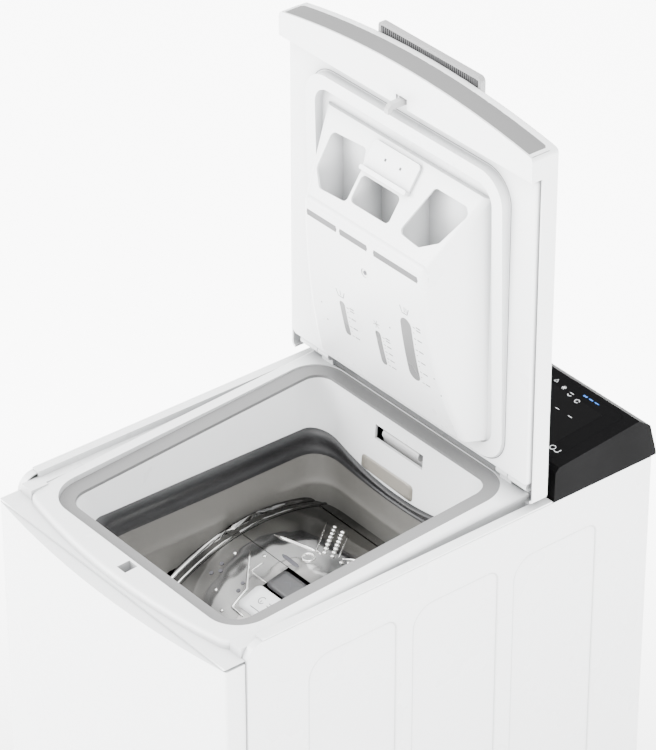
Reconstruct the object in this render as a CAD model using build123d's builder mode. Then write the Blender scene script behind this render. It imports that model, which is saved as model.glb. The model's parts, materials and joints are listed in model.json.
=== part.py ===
"""Top load washing machine, 40 cm wide, with its lid standing open.

+X is the machine's right-hand side, +Y its rear and +Z up.  The origin is on the floor, under the
middle of the machine.  All lengths are millimetres.
"""
import os
from math import atan, cos, degrees, radians, sin

from build123d import *

os.makedirs("parts", exist_ok=True)

# ---- driving dimensions -------------------------------------------------------------------------
cabinet_top = 848.0          # top edge of the side panels above the floor
side_half = 198.0            # mid plane to the outer face of a side panel
front_half = 195.5           # mid plane to the side of the front panel
lid_half = 201.5             # mid plane to the side of the lid
front_edge_y = -281.0        # straight front edge, at the corners of the front panel
front_bow = 16.3             # how far the front panel stands forward in the middle
side_front_y = -256.0        # front edge of the side panels
rear_y = 290.5               # rear edge of the side panels
base_height = 18.0           # underside of the base above the floor
sheet = 1.5                  # steel sheet
wall = 3.0                   # plastic wall
seam = 0.5                   # joint line between two fixed panels
running_gap = 1.0            # air between a moving part and its neighbours
pin_clearance = 0.05         # radial clearance of a pin in its hole

# Worktop, loading throat and seal
ledge_drop = 16.6            # top of the front ledge below cabinet_top
ledge_thickness = 3.0
collar_half = 179.0          # half width of the raised collar
collar_front_y = -258.0      # front edge of the collar at its corners
collar_bow = 19.0            # how far its front edge is bowed
collar_rear_y = 133.0
collar_mid_rise = 6.5        # collar surface above cabinet_top at mid depth
collar_slope = 0.055         # rise of the collar towards the rear
seal_mid_rise = 2.6          # seal surface above cabinet_top at mid depth
seal_slope = 0.070
seal_half = 163.5            # seal ring, outer half width
seal_front_y = -247.0
seal_back_y = 129.0
seal_width = 19.5            # width of the ring at the sides
seal_end_width = 16.5        # width of the ring at the front and rear
seal_corner = 40.0
seal_depth = 3.0
throat_corner = 22.0
throat_floor_drop = 230.0    # the throat is drawn down to this depth below cabinet_top
throat_floor_half = 112.0
throat_floor_front_y = -146.0
throat_floor_back_y = 97.0
throat_floor_corner = 46.0
throat_wall = 3.0
throat_rim_drop = 78.0       # lowest point of the throat's lower rim
throat_rim_radius = 340.0

# Lid, in its open position
hinge_y = 126.0
hinge_rise = 26.0            # hinge axis above cabinet_top
lid_back = 14.1              # outer face behind the hinge axis
lid_below = 13.5             # lower edge below the hinge axis
lid_above = 407.0            # corners of the free edge above the hinge axis
lid_bow = 18.0
skirt_depth = 21.0
skin_wall = 2.5
band_depth = 36.0            # depth of the deep band along the free edge
band_height = 28.0
liner_face = 11.0            # face of the inner liner in front of the hinge axis
liner_half = 196.5
liner_foot = 7.5             # lower edge of the liner above the hinge axis
pin_radius = 2.5
knuckle_radius = 5.5
fixed_knuckle_x = 149.0
fixed_knuckle_length = 18.0
lid_knuckle_x = 173.5
lid_knuckle_length = 29.0
handle_half = 81.0
handle_reach = 9.0           # handle beyond the free edge of the lid
handle_thickness = 6.4
hook_above = 385.0

# Dispenser in the lid
dispenser_half = 131.0
dispenser_nose_half = 97.0
dispenser_foot = 34.0        # lower end above the hinge axis
dispenser_top = 326.0
dispenser_nose = 72.0        # how far its nose stands in front of the hinge axis
dispenser_wall = 3.0

# Tub and drum
axle_y = 4.0
axle_drop = 357.0            # drum axis below cabinet_top
drum_radius = 235.0
drum_half = 146.0
drum_sheet = 1.2
tub_inner_radius = 247.0
tub_wall = 3.5
tub_half = 162.0
door_tilt = 8.0              # the doors park this many degrees forward of the top
door_span = 27.0             # angle from the middle of the doors to each hinge
door_half = 104.0
shaft_radius = 12.5

# Control panel
panel_front_y = 152.0
panel_overhang = 6.8         # rear of the control panel beyond the side panels
panel_rise = 0.4             # joint line under the control panel
fascia_rise = 42.0           # front of the fascia above cabinet_top
fascia_length = 113.0
fascia_climb = 11.0

# ---- derived positions --------------------------------------------------------------------------
hinge_z = cabinet_top + hinge_rise
lid_face_y = hinge_y + lid_back
ledge_z = cabinet_top - ledge_drop
throat_mid_y = (seal_front_y + seal_back_y) / 2
axle_z = cabinet_top - axle_drop
tub_outer_radius = tub_inner_radius + tub_wall
rear_edge_y = rear_y + panel_overhang
nodes = []


def finish(part, name, color):
    """Label a finished piece, colour it and write it as its own STEP file."""
    part.label = name
    part.color = Color(*color)
    export_step(part, f"parts/{name}.step")
    nodes.append(name)


white = (0.93, 0.93, 0.93)
light_grey = (0.72, 0.72, 0.72)
mid_grey = (0.45, 0.45, 0.45)
dark = (0.08, 0.08, 0.09)
steel = (0.66, 0.67, 0.68)
taupe = (0.45, 0.44, 0.41)


def bowed_plan(half, front, bow, back, corner):
    """Plan outline with a straight back and a bowed front, drawn into the current sketch."""
    with BuildLine() as outline:
        Polyline((half, front), (half, back), (-half, back), (-half, front))
        ThreePointArc((-half, front), (0, front - bow), (half, front))
    face = make_face(outline.edges())
    fillet([v for v in face.vertices() if abs(v.Y - front) < 0.01], corner)


def box_between(low, high, mode=Mode.ADD):
    """Box given by its lowest and highest corners."""
    size = [b - a for a, b in zip(low, high)]
    middle = [(a + b) / 2 for a, b in zip(low, high)]
    with Locations(tuple(middle)):
        Box(*size, mode=mode)


# ---- cabinet ------------------------------------------------------------------------------------
arch_depth = 1.0
arch_width = 116.0
arch_pitch = 138.0
arch_first_y = -119.5
arch_top_drop = 52.0
arch_foot = 110.0
flange = 9.0
side_corner = 20.0


def side_profile(inset):
    """Outline of a side panel in the YZ plane, with its rounded front top corner."""
    with BuildLine() as outline:
        Polyline(
            (side_front_y + inset, cabinet_top - inset - side_corner),
            (side_front_y + inset, base_height),
            (rear_y - inset, base_height),
            (rear_y - inset, cabinet_top - inset),
            (side_front_y + inset + side_corner, cabinet_top - inset),
        )
        RadiusArc(
            (side_front_y + inset + side_corner, cabinet_top - inset),
            (side_front_y + inset, cabinet_top - inset - side_corner),
            -side_corner,
        )
    make_face(outline.edges())


def arch_outlines(grow):
    """Three pressed arches, with a wide curve at the front and a tight one at the rear."""
    top = cabinet_top - arch_top_drop + grow
    foot = arch_foot - grow
    for index in range(3):
        low = arch_first_y + index * arch_pitch - arch_width / 2 - grow
        high = low + arch_width + 2 * grow
        with BuildLine() as outline:
            Polyline((low, top - 27), (low, foot), (high, foot), (high, top - 12))
            RadiusArc((high, top - 12), (high - 12, top), -12)
            Line((high - 12, top), (low + 27, top))
            RadiusArc((low + 27, top), (low, top - 27), -27)
        make_face(outline.edges())


with BuildPart() as side_panel_right:
    with BuildSketch(Plane.YZ.offset(side_half - sheet)):
        side_profile(0)
    extrude(amount=sheet)
    with BuildSketch(Plane.YZ.offset(side_half - flange)):
        side_profile(0)
        offset(amount=-sheet, mode=Mode.SUBTRACT)
    extrude(amount=flange - sheet)
    with BuildSketch(Plane.YZ.offset(side_half - sheet - arch_depth)):
        arch_outlines(sheet)
    extrude(amount=arch_depth)
    with BuildSketch(Plane.YZ.offset(side_half)):
        arch_outlines(0)
    extrude(amount=-arch_depth, taper=40, mode=Mode.SUBTRACT)
finish(side_panel_right.part, "side_panel_right", white)

with BuildPart() as side_panel_left:
    mirror(side_panel_right.part, about=Plane.YZ)
finish(side_panel_left.part, "side_panel_left", white)

# ---- front and rear of the cabinet --------------------------------------------------------------
kick_height = 90.0
front_corner = 3.0
front_top = ledge_z - ledge_thickness - 0.2
front_back_y = side_front_y - 1.0
lock_notch_width, lock_notch_depth = 60.0, 16.0


def bowed_plan_inner(inset, back):
    """Cut the inside of a bowed shell from the current sketch."""
    with BuildLine() as outline:
        half = front_half - inset
        front = front_edge_y + inset
        Polyline((half, front), (half, back + 5), (-half, back + 5), (-half, front))
        ThreePointArc((-half, front), (0, front - front_bow), (half, front))
    make_face(outline.edges(), mode=Mode.SUBTRACT)


with BuildPart() as front_panel:
    with BuildSketch(Plane.XY.offset(kick_height + seam)):
        bowed_plan(front_half, front_edge_y, front_bow, front_back_y, front_corner)
        bowed_plan_inner(sheet, front_back_y)
    extrude(amount=front_top - kick_height - seam)
    with BuildSketch(Plane.XY.offset(front_top - sheet)):
        bowed_plan(front_half - 0.5, front_edge_y + 0.5, front_bow, front_back_y, front_corner)
        with Locations((0, front_back_y)):
            Rectangle(lock_notch_width, 2 * lock_notch_depth, mode=Mode.SUBTRACT)
    extrude(amount=sheet)
finish(front_panel.part, "front_panel", white)

# The filter behind the kick plate has a drop-down flap at the right of the machine.
flap_low, flap_high = base_height + seam, 82.0
flap_left, flap_right = 50.0, 150.0
kick_inset = 2.0

with BuildPart() as kick_plate:
    with BuildSketch(Plane.XY.offset(base_height + seam)):
        bowed_plan(front_half - kick_inset, front_edge_y + kick_inset, front_bow, front_back_y, front_corner)
        bowed_plan_inner(kick_inset + wall, front_back_y)
    extrude(amount=kick_height - base_height - seam)
    box_between((flap_left, -310, 0), (flap_right, -255, flap_high), mode=Mode.SUBTRACT)
finish(kick_plate.part, "kick_plate", white)

flap_axis_y = front_edge_y + 1.0
flap_axis_z = flap_low + 4.0
with BuildPart() as filter_flap:
    with BuildSketch(Plane.XY.offset(flap_low + running_gap)):
        bowed_plan(front_half - kick_inset, front_edge_y + kick_inset, front_bow, front_back_y, front_corner)
        bowed_plan_inner(kick_inset + wall, front_back_y)
    extrude(amount=flap_high - flap_low - 2 * running_gap)
    box_between((flap_left + running_gap, -310, 0), (flap_right - running_gap, -255, kick_height),
                mode=Mode.INTERSECT)
    with BuildSketch(Plane.YZ.offset(flap_left + 20)):
        with Locations((flap_axis_y, flap_axis_z)):
            Circle(2.8)
    extrude(amount=flap_right - flap_left - 40)
    box_between((flap_left + 20, flap_axis_y - 9, flap_axis_z - 2),
                (flap_right - 20, flap_axis_y, flap_axis_z + 2))
    with Locations(Pos((flap_left + flap_right) / 2, flap_axis_y, flap_axis_z) * Rot(0, 90, 0)):
        Cylinder(1.5 + pin_clearance, 200, mode=Mode.SUBTRACT)
finish(filter_flap.part, "filter_flap", white)

with BuildPart() as flap_pin:
    with Locations(Pos((flap_left + flap_right) / 2, flap_axis_y, flap_axis_z) * Rot(0, 90, 0)):
        Cylinder(1.5, flap_right - flap_left - 20)
    # two blocks on the front lip of the base hold the pin
    for x in (flap_left + 12, flap_right - 12):
        box_between((x - 4, flap_axis_y - 2.5, base_height + wall),
                    (x + 4, flap_axis_y + 18, flap_axis_z + 3))
finish(flap_pin.part, "filter_flap_pin", light_grey)

# ---- base, feet and rear panel ------------------------------------------------------------------
base_wall_height = 46.0
foot_x, foot_front_y, foot_back_y = 165.0, -225.0, 262.0
foot_thread_radius = 5.0
foot_pad_radius = 20.0
foot_boss_radius = 13.0
foot_travel = 15.0
foot_spots = {
    "foot_front_left": (-foot_x, foot_front_y),
    "foot_front_right": (foot_x, foot_front_y),
    "foot_rear_left": (-foot_x, foot_back_y),
    "foot_rear_right": (foot_x, foot_back_y),
}
base_half = side_half - flange - 1.0
pump_x, pump_y, pump_z = (flap_left + flap_right) / 2, -190.0, 62.0
cap_radius = 27.0

with BuildPart() as base_tray:
    box_between((-base_half, -254, base_height), (base_half, rear_y - 2.5, base_height + base_wall_height))
    box_between((-base_half + wall, -254 + wall, base_height + wall),
                (base_half - wall, rear_y - 2.5 - wall, 200), mode=Mode.SUBTRACT)
    for x, y in foot_spots.values():
        with BuildSketch(Plane.XY.offset(base_height)):
            with Locations((x, y)):
                Circle(foot_boss_radius)
        extrude(amount=28)
        with BuildSketch(Plane.XY.offset(base_height)):
            with Locations((x, y)):
                Circle(foot_thread_radius + pin_clearance)
        extrude(amount=60, both=True, mode=Mode.SUBTRACT)
    box_between((-base_half, -270, base_height), (base_half, -254, base_height + wall))
    # round notch for the filter of the pump
    with Locations(Pos(pump_x, -254, pump_z) * Rot(90, 0, 0)):
        Cylinder(cap_radius + running_gap, 40, mode=Mode.SUBTRACT)
finish(base_tray.part, "base_tray", mid_grey)

for name, (x, y) in foot_spots.items():
    with BuildPart() as foot:
        with BuildSketch(Plane.XY):
            with Locations((x, y)):
                Circle(foot_pad_radius)
        extrude(amount=9)
        with BuildSketch(Plane.XY.offset(9)):
            with Locations((x, y)):
                RegularPolygon(9.5, 6)
        extrude(amount=base_height - 9)
        with BuildSketch(Plane.XY.offset(base_height)):
            with Locations((x, y)):
                Circle(foot_thread_radius)
        extrude(amount=30)
        chamfer(foot.edges().group_by(Axis.Z)[0], 1.5)
    finish(foot.part, name, dark)

hatch_half, hatch_low, hatch_high = 120.0, 250.0, 640.0
valve_x, valve_z = 120.0, cabinet_top - 78.0
valve_thread_radius, valve_bore_radius = 13.2, 8.0
drain_x, drain_radius = -130.0, 11.0
gland_x, gland_radius = -60.0, 9.0
with BuildPart() as rear_panel:
    with BuildSketch(Plane.XZ.offset(-rear_y)):
        with Locations((0, (base_height + cabinet_top) / 2)):
            Rectangle(2 * (side_half - sheet) - 0.4, cabinet_top - base_height - 4)
    extrude(amount=-sheet)
    with BuildSketch(Plane.XZ.offset(-rear_y)):
        with Locations((0, (hatch_low + hatch_high) / 2)):
            RectangleRounded(2 * hatch_half, hatch_high - hatch_low, 30)
    extrude(amount=-4 - sheet)
    with BuildSketch(Plane.XZ.offset(-rear_y)):
        with Locations((0, (hatch_low + hatch_high) / 2)):
            RectangleRounded(2 * (hatch_half - sheet), hatch_high - hatch_low - 2 * sheet, 29)
    extrude(amount=-4, mode=Mode.SUBTRACT)
    for x, radius in ((valve_x, valve_thread_radius), (drain_x, drain_radius), (gland_x, gland_radius)):
        with Locations(Pos(x, rear_y, valve_z) * Rot(90, 0, 0)):
            Cylinder(radius + 0.2, 20, mode=Mode.SUBTRACT)
finish(rear_panel.part, "rear_panel", white)

# ---- worktop, seal and loading throat -----------------------------------------------------------
collar_angle = degrees(atan(collar_slope))
seal_angle = degrees(atan(seal_slope))
collar_plane = Plane((0, 0, cabinet_top + collar_mid_rise), x_dir=(1, 0, 0),
                     z_dir=(0, -sin(radians(collar_angle)), cos(radians(collar_angle))))
seal_plane = Plane((0, 0, cabinet_top + seal_mid_rise), x_dir=(1, 0, 0),
                   z_dir=(0, -sin(radians(seal_angle)), cos(radians(seal_angle))))
seal_length = seal_back_y - seal_front_y
throat_half = seal_half - seal_width
throat_length = seal_length - 2 * seal_end_width
throat_floor_z = cabinet_top - throat_floor_drop
throat_rim_z = cabinet_top - throat_rim_drop
worktop_foot = ledge_z - ledge_thickness
gutter_drop = 5.0
rim_rise = 2.5
rim_half = side_half - 0.4
collar_hollow_drop = seal_depth + wall
throat_window_x = -6.0
hook_slot_y = hinge_y - hook_above


def throat_body(grow, mode=Mode.ADD):
    """Tapering tube of the throat, from the seal down to its floor, made larger by grow."""
    with BuildSketch(seal_plane) as top:
        with Locations((0, throat_mid_y)):
            RectangleRounded(2 * (throat_half + grow), throat_length + 2 * grow, throat_corner + grow)
    with BuildSketch(Plane.XY.offset(throat_floor_z)) as floor:
        with Locations((0, (throat_floor_front_y + throat_floor_back_y) / 2)):
            RectangleRounded(2 * (throat_floor_half + grow),
                             throat_floor_back_y - throat_floor_front_y + 2 * grow,
                             throat_floor_corner + grow)
    loft(sections=[top.sketch, floor.sketch], mode=mode)


def below_throat_rim(mode):
    """Everything below the arched lower rim of the throat."""
    with BuildSketch(Plane.XZ.offset(320)) as profile:
        with Locations((0, throat_rim_z + throat_rim_radius - 2000)):
            Rectangle(500, 4000)
        with Locations((0, throat_rim_z + throat_rim_radius)):
            Circle(throat_rim_radius, mode=Mode.SUBTRACT)
            Rectangle(600, 2 * throat_rim_radius * 0.7, mode=Mode.SUBTRACT)
    extrude(profile.sketch, amount=-620, mode=mode)


with BuildPart() as collar_hollow:
    with BuildSketch(Plane.XY.offset(worktop_foot - 1)):
        bowed_plan(collar_half - wall, collar_front_y + 2 * wall, collar_bow, collar_rear_y - wall, 23)
    extrude(amount=80)
    split(bisect_by=seal_plane.offset(-collar_hollow_drop), keep=Keep.BOTTOM)

with BuildPart() as worktop:
    # raised collar, cut to its sloping surface and rounded over
    with BuildSketch(Plane.XY.offset(worktop_foot)):
        bowed_plan(collar_half, collar_front_y, collar_bow, collar_rear_y, 26)
    extrude(amount=80)
    split(bisect_by=collar_plane, keep=Keep.BOTTOM)
    fillet(worktop.faces().sort_by(Axis.Z)[-1].edges(), 5)
    # side gutters with their raised rims, and the bridge that carries the hinges
    gutter_half = side_half - flange - 0.3
    for side in (-1, 1):
        for inner, outer, low, high in (
            (collar_half - 4, gutter_half, -gutter_drop - 4, -gutter_drop),
            (gutter_half - 2.5, gutter_half, -gutter_drop - 4, rim_rise),
            (gutter_half - 2.5, rim_half, 0.2, rim_rise),
        ):
            low_x, high_x = sorted((side * inner, side * outer))
            box_between((low_x, side_front_y + side_corner, cabinet_top + low),
                        (high_x, panel_front_y - 2, cabinet_top + high))
    box_between((-gutter_half, collar_rear_y - 6, cabinet_top - gutter_drop - 4),
                (gutter_half, panel_front_y - 2, cabinet_top + rim_rise))
    # front ledge
    with BuildSketch(Plane.XY.offset(ledge_z - ledge_thickness)):
        with Locations((0, (front_edge_y + side_front_y) / 2)):
            Rectangle(2 * front_half - 0.4, side_front_y - front_edge_y)
    extrude(amount=ledge_thickness)
    for side in (-1, 1):
        low_x, high_x = sorted((side * (collar_half - 8), side * gutter_half))
        box_between((low_x, side_front_y - 1, ledge_z - ledge_thickness),
                    (high_x, side_front_y + side_corner + 1, cabinet_top - gutter_drop))
    add(collar_hollow.part, mode=Mode.SUBTRACT)
    # throat, with the channel of the seal around it
    throat_body(throat_wall)
    with BuildSketch(seal_plane.offset(-seal_depth)):
        with Locations((0, throat_mid_y)):
            RectangleRounded(2 * seal_half, seal_length, seal_corner)
    extrude(amount=40, mode=Mode.SUBTRACT)
    throat_body(0, mode=Mode.SUBTRACT)
    below_throat_rim(Mode.SUBTRACT)
    # latch slot in the front of the collar
    box_between((-7, hook_slot_y - 7, 0), (7, hook_slot_y + 9, 1000), mode=Mode.SUBTRACT)
    # window in the rear wall of the throat
    box_between((throat_window_x - 40, 60, cabinet_top - 27), (throat_window_x + 40, 130, cabinet_top - 9),
                mode=Mode.SUBTRACT)
finish(worktop.part, "worktop", white)

with BuildPart() as seal_ring:
    with BuildSketch(seal_plane.offset(-seal_depth)):
        with Locations((0, throat_mid_y)):
            RectangleRounded(2 * seal_half - 0.4, seal_length - 0.4, seal_corner)
            RectangleRounded(2 * throat_half, throat_length, throat_corner, mode=Mode.SUBTRACT)
    extrude(amount=seal_depth + 0.6)
finish(seal_ring.part, "seal_ring", light_grey)

# The roller of the inlet duct shows through the window in the throat.
with BuildPart() as inlet_nozzle:
    box_between((throat_window_x - 36, seal_back_y - 10, cabinet_top - 36),
                (throat_window_x + 36, collar_rear_y - wall - 0.5, cabinet_top - 10))
    with Locations(Pos(throat_window_x, seal_back_y - 11, cabinet_top - 18) * Rot(0, 90, 0)):
        Cylinder(6, 60)
finish(inlet_nozzle.part, "inlet_nozzle", light_grey)

with BuildPart() as bellows:
    throat_body(throat_wall)
    throat_body(0, mode=Mode.SUBTRACT)
    below_throat_rim(Mode.INTERSECT)
    with Locations(Pos(0, axle_y, axle_z) * Rot(0, 90, 0)):
        Cylinder(tub_outer_radius + 0.3, 500, mode=Mode.SUBTRACT)
finish(bellows.part, "bellows", taupe)

# ---- lid ----------------------------------------------------------------------------------------
lid_foot_z = hinge_z - lid_below
lid_corner_z = hinge_z + lid_above
band_z = lid_corner_z - band_height
liner_y = hinge_y - liner_face
liner_foot_z = hinge_z + liner_foot
front_gap = 0.4


def lid_outline(half, foot, corner_height, corner, mode=Mode.ADD):
    """Outline of the lid in the XZ plane, with its bowed free edge."""
    with BuildLine() as outline:
        Polyline((half, corner_height), (half, foot), (-half, foot), (-half, corner_height))
        ThreePointArc((-half, corner_height), (0, corner_height + lid_bow), (half, corner_height))
    face = make_face(outline.edges(), mode=Mode.PRIVATE).face()
    add(face.fillet_2d(corner, face.vertices()), mode=mode)


def face_plane(depth):
    """Plane of the lid facing the front, at a depth inside its outer face."""
    return Plane.XZ.offset(depth - lid_face_y)


hook_z = hinge_z + hook_above
hook_pivot_y = liner_y + 3.0
hook_lug_inner, hook_lug_outer = 6.0, 12.0
hook_pin_radius = 1.5
with BuildPart() as lid_skin:
    with BuildSketch(face_plane(0)) as outline:
        lid_outline(lid_half, lid_foot_z, lid_corner_z, 6)
    extrude(amount=skirt_depth)
    with BuildSketch(face_plane(skirt_depth)):
        lid_outline(lid_half, lid_foot_z, lid_corner_z, 6)
        with Locations((0, band_z - 500)):
            Rectangle(500, 1000, mode=Mode.SUBTRACT)
    extrude(amount=band_depth - skirt_depth)
    fillet(lid_skin.edges().group_by(Axis.Y)[-1], 2.4)
    with BuildSketch(face_plane(skin_wall)):
        lid_outline(lid_half - skin_wall, lid_foot_z + skin_wall, lid_corner_z - skin_wall, 4)
        with Locations((0, band_z + 500)):
            Rectangle(500, 1000, mode=Mode.SUBTRACT)
    extrude(amount=band_depth, mode=Mode.SUBTRACT)
    with BuildSketch(face_plane(skin_wall)):
        lid_outline(lid_half - skin_wall, lid_foot_z + skin_wall, lid_corner_z - skin_wall, 4)
        with Locations((0, band_z - 501)):
            Rectangle(500, 1000, mode=Mode.SUBTRACT)
    extrude(amount=band_depth - 2 * skin_wall, mode=Mode.SUBTRACT)
    # the lower skirt is left out between the hinges
    box_between((-lid_half + 6, lid_face_y - skirt_depth - 1, lid_foot_z - 1),
                (lid_half - 6, lid_face_y - skin_wall, lid_foot_z + skin_wall + 0.1), mode=Mode.SUBTRACT)
    # slot for the hook in the lower face of the band
    box_between((-9, hinge_y - 24, band_z - 5), (9, liner_y - 1, band_z + 12), mode=Mode.SUBTRACT)
    # two lugs behind the slot hold the pin of the hook
    for side in (-1, 1):
        low_x, high_x = sorted((side * hook_lug_inner, side * hook_lug_outer))
        box_between((low_x, lid_face_y - band_depth + skin_wall - 0.5, hook_z - 5),
                    (high_x, hook_pivot_y + 5, hook_z + 5))
    with Locations(Pos(0, hook_pivot_y, hook_z) * Rot(0, 90, 0)):
        Cylinder(hook_pin_radius, 2 * hook_lug_outer + 2, mode=Mode.SUBTRACT)
finish(lid_skin.part, "lid_skin", white)

ridge_slope = 0.026
ridge_rise = 2.0
ridge_plane = Plane((0, liner_y - ridge_rise, hinge_z), x_dir=(1, 0, 0),
                    z_dir=(0, -cos(atan(ridge_slope)), -sin(atan(ridge_slope))))
ridge_foot, ridge_top = 14.0, 362.0
ridge_half, ridge_width = 158.0, 16.0
liner_top_z = band_z - front_gap

with BuildPart() as lid_ridge:
    with BuildSketch(Plane.XZ.offset(-liner_y - 1)):
        with Locations((0, hinge_z + (ridge_foot + ridge_top) / 2)):
            RectangleRounded(2 * ridge_half, ridge_top - ridge_foot, 34)
            RectangleRounded(2 * (ridge_half - ridge_width), ridge_top - ridge_foot - 2 * ridge_width, 22,
                             mode=Mode.SUBTRACT)
    extrude(amount=40)
    split(bisect_by=ridge_plane, keep=Keep.BOTTOM)

with BuildPart() as lid_liner:
    with BuildSketch(face_plane(skin_wall)):
        with Locations((0, (liner_foot_z + liner_top_z) / 2)):
            RectangleRounded(2 * liner_half, liner_top_z - liner_foot_z, 8)
    extrude(amount=lid_back + liner_face - skin_wall)
    fillet(lid_liner.edges().group_by(Axis.Y)[0], 3)
    with BuildSketch(face_plane(skin_wall)):
        with Locations((0, (liner_foot_z + liner_top_z) / 2)):
            RectangleRounded(2 * (liner_half - wall), liner_top_z - liner_foot_z - 2 * wall, 5)
    extrude(amount=lid_back + liner_face - skin_wall - wall, mode=Mode.SUBTRACT)
    add(lid_ridge.part)
    # knuckles of the lid, with the webs that join them to the liner
    for side in (-1, 1):
        middle = side * lid_knuckle_x
        with Locations(Pos(middle, hinge_y, hinge_z) * Rot(0, 90, 0)):
            Cylinder(knuckle_radius, lid_knuckle_length)
        box_between((middle - lid_knuckle_length / 2, hinge_y - 4, hinge_z),
                    (middle + lid_knuckle_length / 2, hinge_y + 4, liner_foot_z + 1))
        with Locations(Pos(middle, hinge_y, hinge_z) * Rot(0, 90, 0)):
            Cylinder(pin_radius, 60, mode=Mode.SUBTRACT)
finish(lid_liner.part, "lid_liner", white)

handle_height, handle_tray, handle_rim = 50.0, 3.5, 4.0
handle_middle_z = lid_corner_z + lid_bow + handle_reach - handle_height / 2
with BuildPart() as lid_handle:
    # plate on the outer face of the lid, standing out beyond its free edge
    with BuildSketch(face_plane(-handle_thickness)):
        with Locations((0, handle_middle_z)):
            RectangleRounded(2 * handle_half, handle_height, 6)
    extrude(amount=handle_thickness)
    with BuildSketch(face_plane(-handle_tray)):
        with Locations((0, handle_middle_z)):
            RectangleRounded(2 * (handle_half - handle_rim), handle_height - 2 * handle_rim, 3)
    extrude(amount=handle_tray + 1, mode=Mode.SUBTRACT)
    # grip ribs in the tray of the handle
    rib_count = 48
    rib_pitch = 2 * (handle_half - handle_rim) / rib_count
    with BuildSketch(face_plane(-handle_tray - 0.2)):
        with Locations((0, handle_middle_z)):
            with GridLocations(rib_pitch, 1, rib_count, 1):
                Rectangle(rib_pitch / 2, handle_height - 2 * handle_rim + 0.4)
    extrude(amount=2.5)
finish(lid_handle.part, "lid_handle", light_grey)

with BuildPart() as lid_hook:
    with BuildSketch(Plane.YZ.offset(-3)):
        with BuildLine():
            Polyline((hook_pivot_y + 4, hook_z - 4), (hook_pivot_y + 4, hook_z + 4),
                     (liner_y - 26, hook_z + 4), (liner_y - 31, hook_z - 1),
                     (liner_y - 31, hook_z - 7), (liner_y - 26, hook_z - 7),
                     (liner_y - 25, hook_z - 3), (hook_pivot_y + 4, hook_z - 4))
        make_face()
    extrude(amount=6)
    with Locations(Pos(0, hook_pivot_y, hook_z) * Rot(0, 90, 0)):
        Cylinder(hook_pin_radius + pin_clearance, 20, mode=Mode.SUBTRACT)
finish(lid_hook.part, "lid_hook", light_grey)

with BuildPart() as hook_pin:
    with Locations(Pos(0, hook_pivot_y, hook_z) * Rot(0, 90, 0)):
        Cylinder(hook_pin_radius, 2 * hook_lug_outer)
finish(hook_pin.part, "lid_hook_pin", steel)

# ---- lid hinges ---------------------------------------------------------------------------------
with BuildPart() as hinge_brackets:
    for side in (-1, 1):
        middle = side * fixed_knuckle_x
        half = fixed_knuckle_length / 2
        with Locations(Pos(middle, hinge_y, hinge_z) * Rot(0, 90, 0)):
            Cylinder(knuckle_radius, fixed_knuckle_length)
        box_between((middle - half, hinge_y + 1, hinge_z - 30), (middle + half, hinge_y + 7, hinge_z))
        with Locations(Pos(middle, hinge_y, hinge_z) * Rot(0, 90, 0)):
            Cylinder(pin_radius + pin_clearance, 60, mode=Mode.SUBTRACT)
    split(bisect_by=collar_plane, keep=Keep.TOP)
finish(hinge_brackets.part, "hinge_brackets", white)

with BuildPart() as hinge_pins:
    inner = fixed_knuckle_x - fixed_knuckle_length / 2
    outer = lid_knuckle_x + lid_knuckle_length / 2
    for side in (-1, 1):
        with Locations(Pos(side * (inner + outer) / 2, hinge_y, hinge_z) * Rot(0, 90, 0)):
            Cylinder(pin_radius, outer - inner)
finish(hinge_pins.part, "hinge_pins", steel)

# ---- dispenser in the lid -----------------------------------------------------------------------
compartments = {"prewash": (-104.0, -41.6), "softener": (-39.4, 32.5), "main_wash": (37.0, 118.0)}
nose_z = hinge_z + 238.0
nose_y = hinge_y - dispenser_nose
base_y = liner_y


def dispenser_profile(inset):
    """Side view of the dispenser: bellied front, rounded nose and sloping mouth."""
    foot = hinge_z + dispenser_foot + inset
    with BuildLine() as outline:
        Polyline((hinge_y - 33 + inset, foot), (base_y - inset, foot),
                 (base_y - inset, hinge_z + dispenser_top - inset),
                 (base_y - 5 - inset * 0.3, hinge_z + dispenser_top - inset * 1.4),
                 (nose_y + 5 + inset, nose_z + 12 - inset * 0.6))
        ThreePointArc((nose_y + 5 + inset, nose_z + 12 - inset * 0.6), (nose_y + 0.6 + inset, nose_z + 7),
                      (nose_y + inset, nose_z))
        ThreePointArc((nose_y + inset, nose_z), (hinge_y - 62 + inset, hinge_z + 140),
                      (hinge_y - 33 + inset, foot))
    make_face(outline.edges())


def dispenser_plan(inset):
    """Plan of the dispenser: narrower at its nose than where it meets the lid."""
    nose = dispenser_nose_half - inset
    base = dispenser_half - inset
    with BuildLine() as outline:
        Polyline((-base, base_y), (-nose, nose_y - 0.5), (nose, nose_y - 0.5), (base, base_y),
                 (-base, base_y))
    make_face(outline.edges())


with BuildPart() as dispenser_block:
    with BuildSketch(Plane.YZ.offset(-dispenser_half)):
        dispenser_profile(0)
    extrude(amount=2 * dispenser_half)
    with BuildSketch(Plane.XY.offset(hinge_z)):
        dispenser_plan(0)
    extrude(amount=400, mode=Mode.INTERSECT)
    long_edges = dispenser_block.edges().filter_by(lambda e: abs(e.center().X) > dispenser_nose_half - 2
                                                   and e.center().Y < base_y - 12)
    fillet(long_edges, 9)

with BuildPart() as dispenser_space:
    for low_x, high_x in compartments.values():
        with BuildSketch(Plane.YZ.offset(low_x)):
            dispenser_profile(dispenser_wall)
        extrude(amount=high_x - low_x)
    with BuildSketch(Plane.XY.offset(hinge_z)):
        dispenser_plan(dispenser_wall)
    extrude(amount=400, mode=Mode.INTERSECT)

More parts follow.
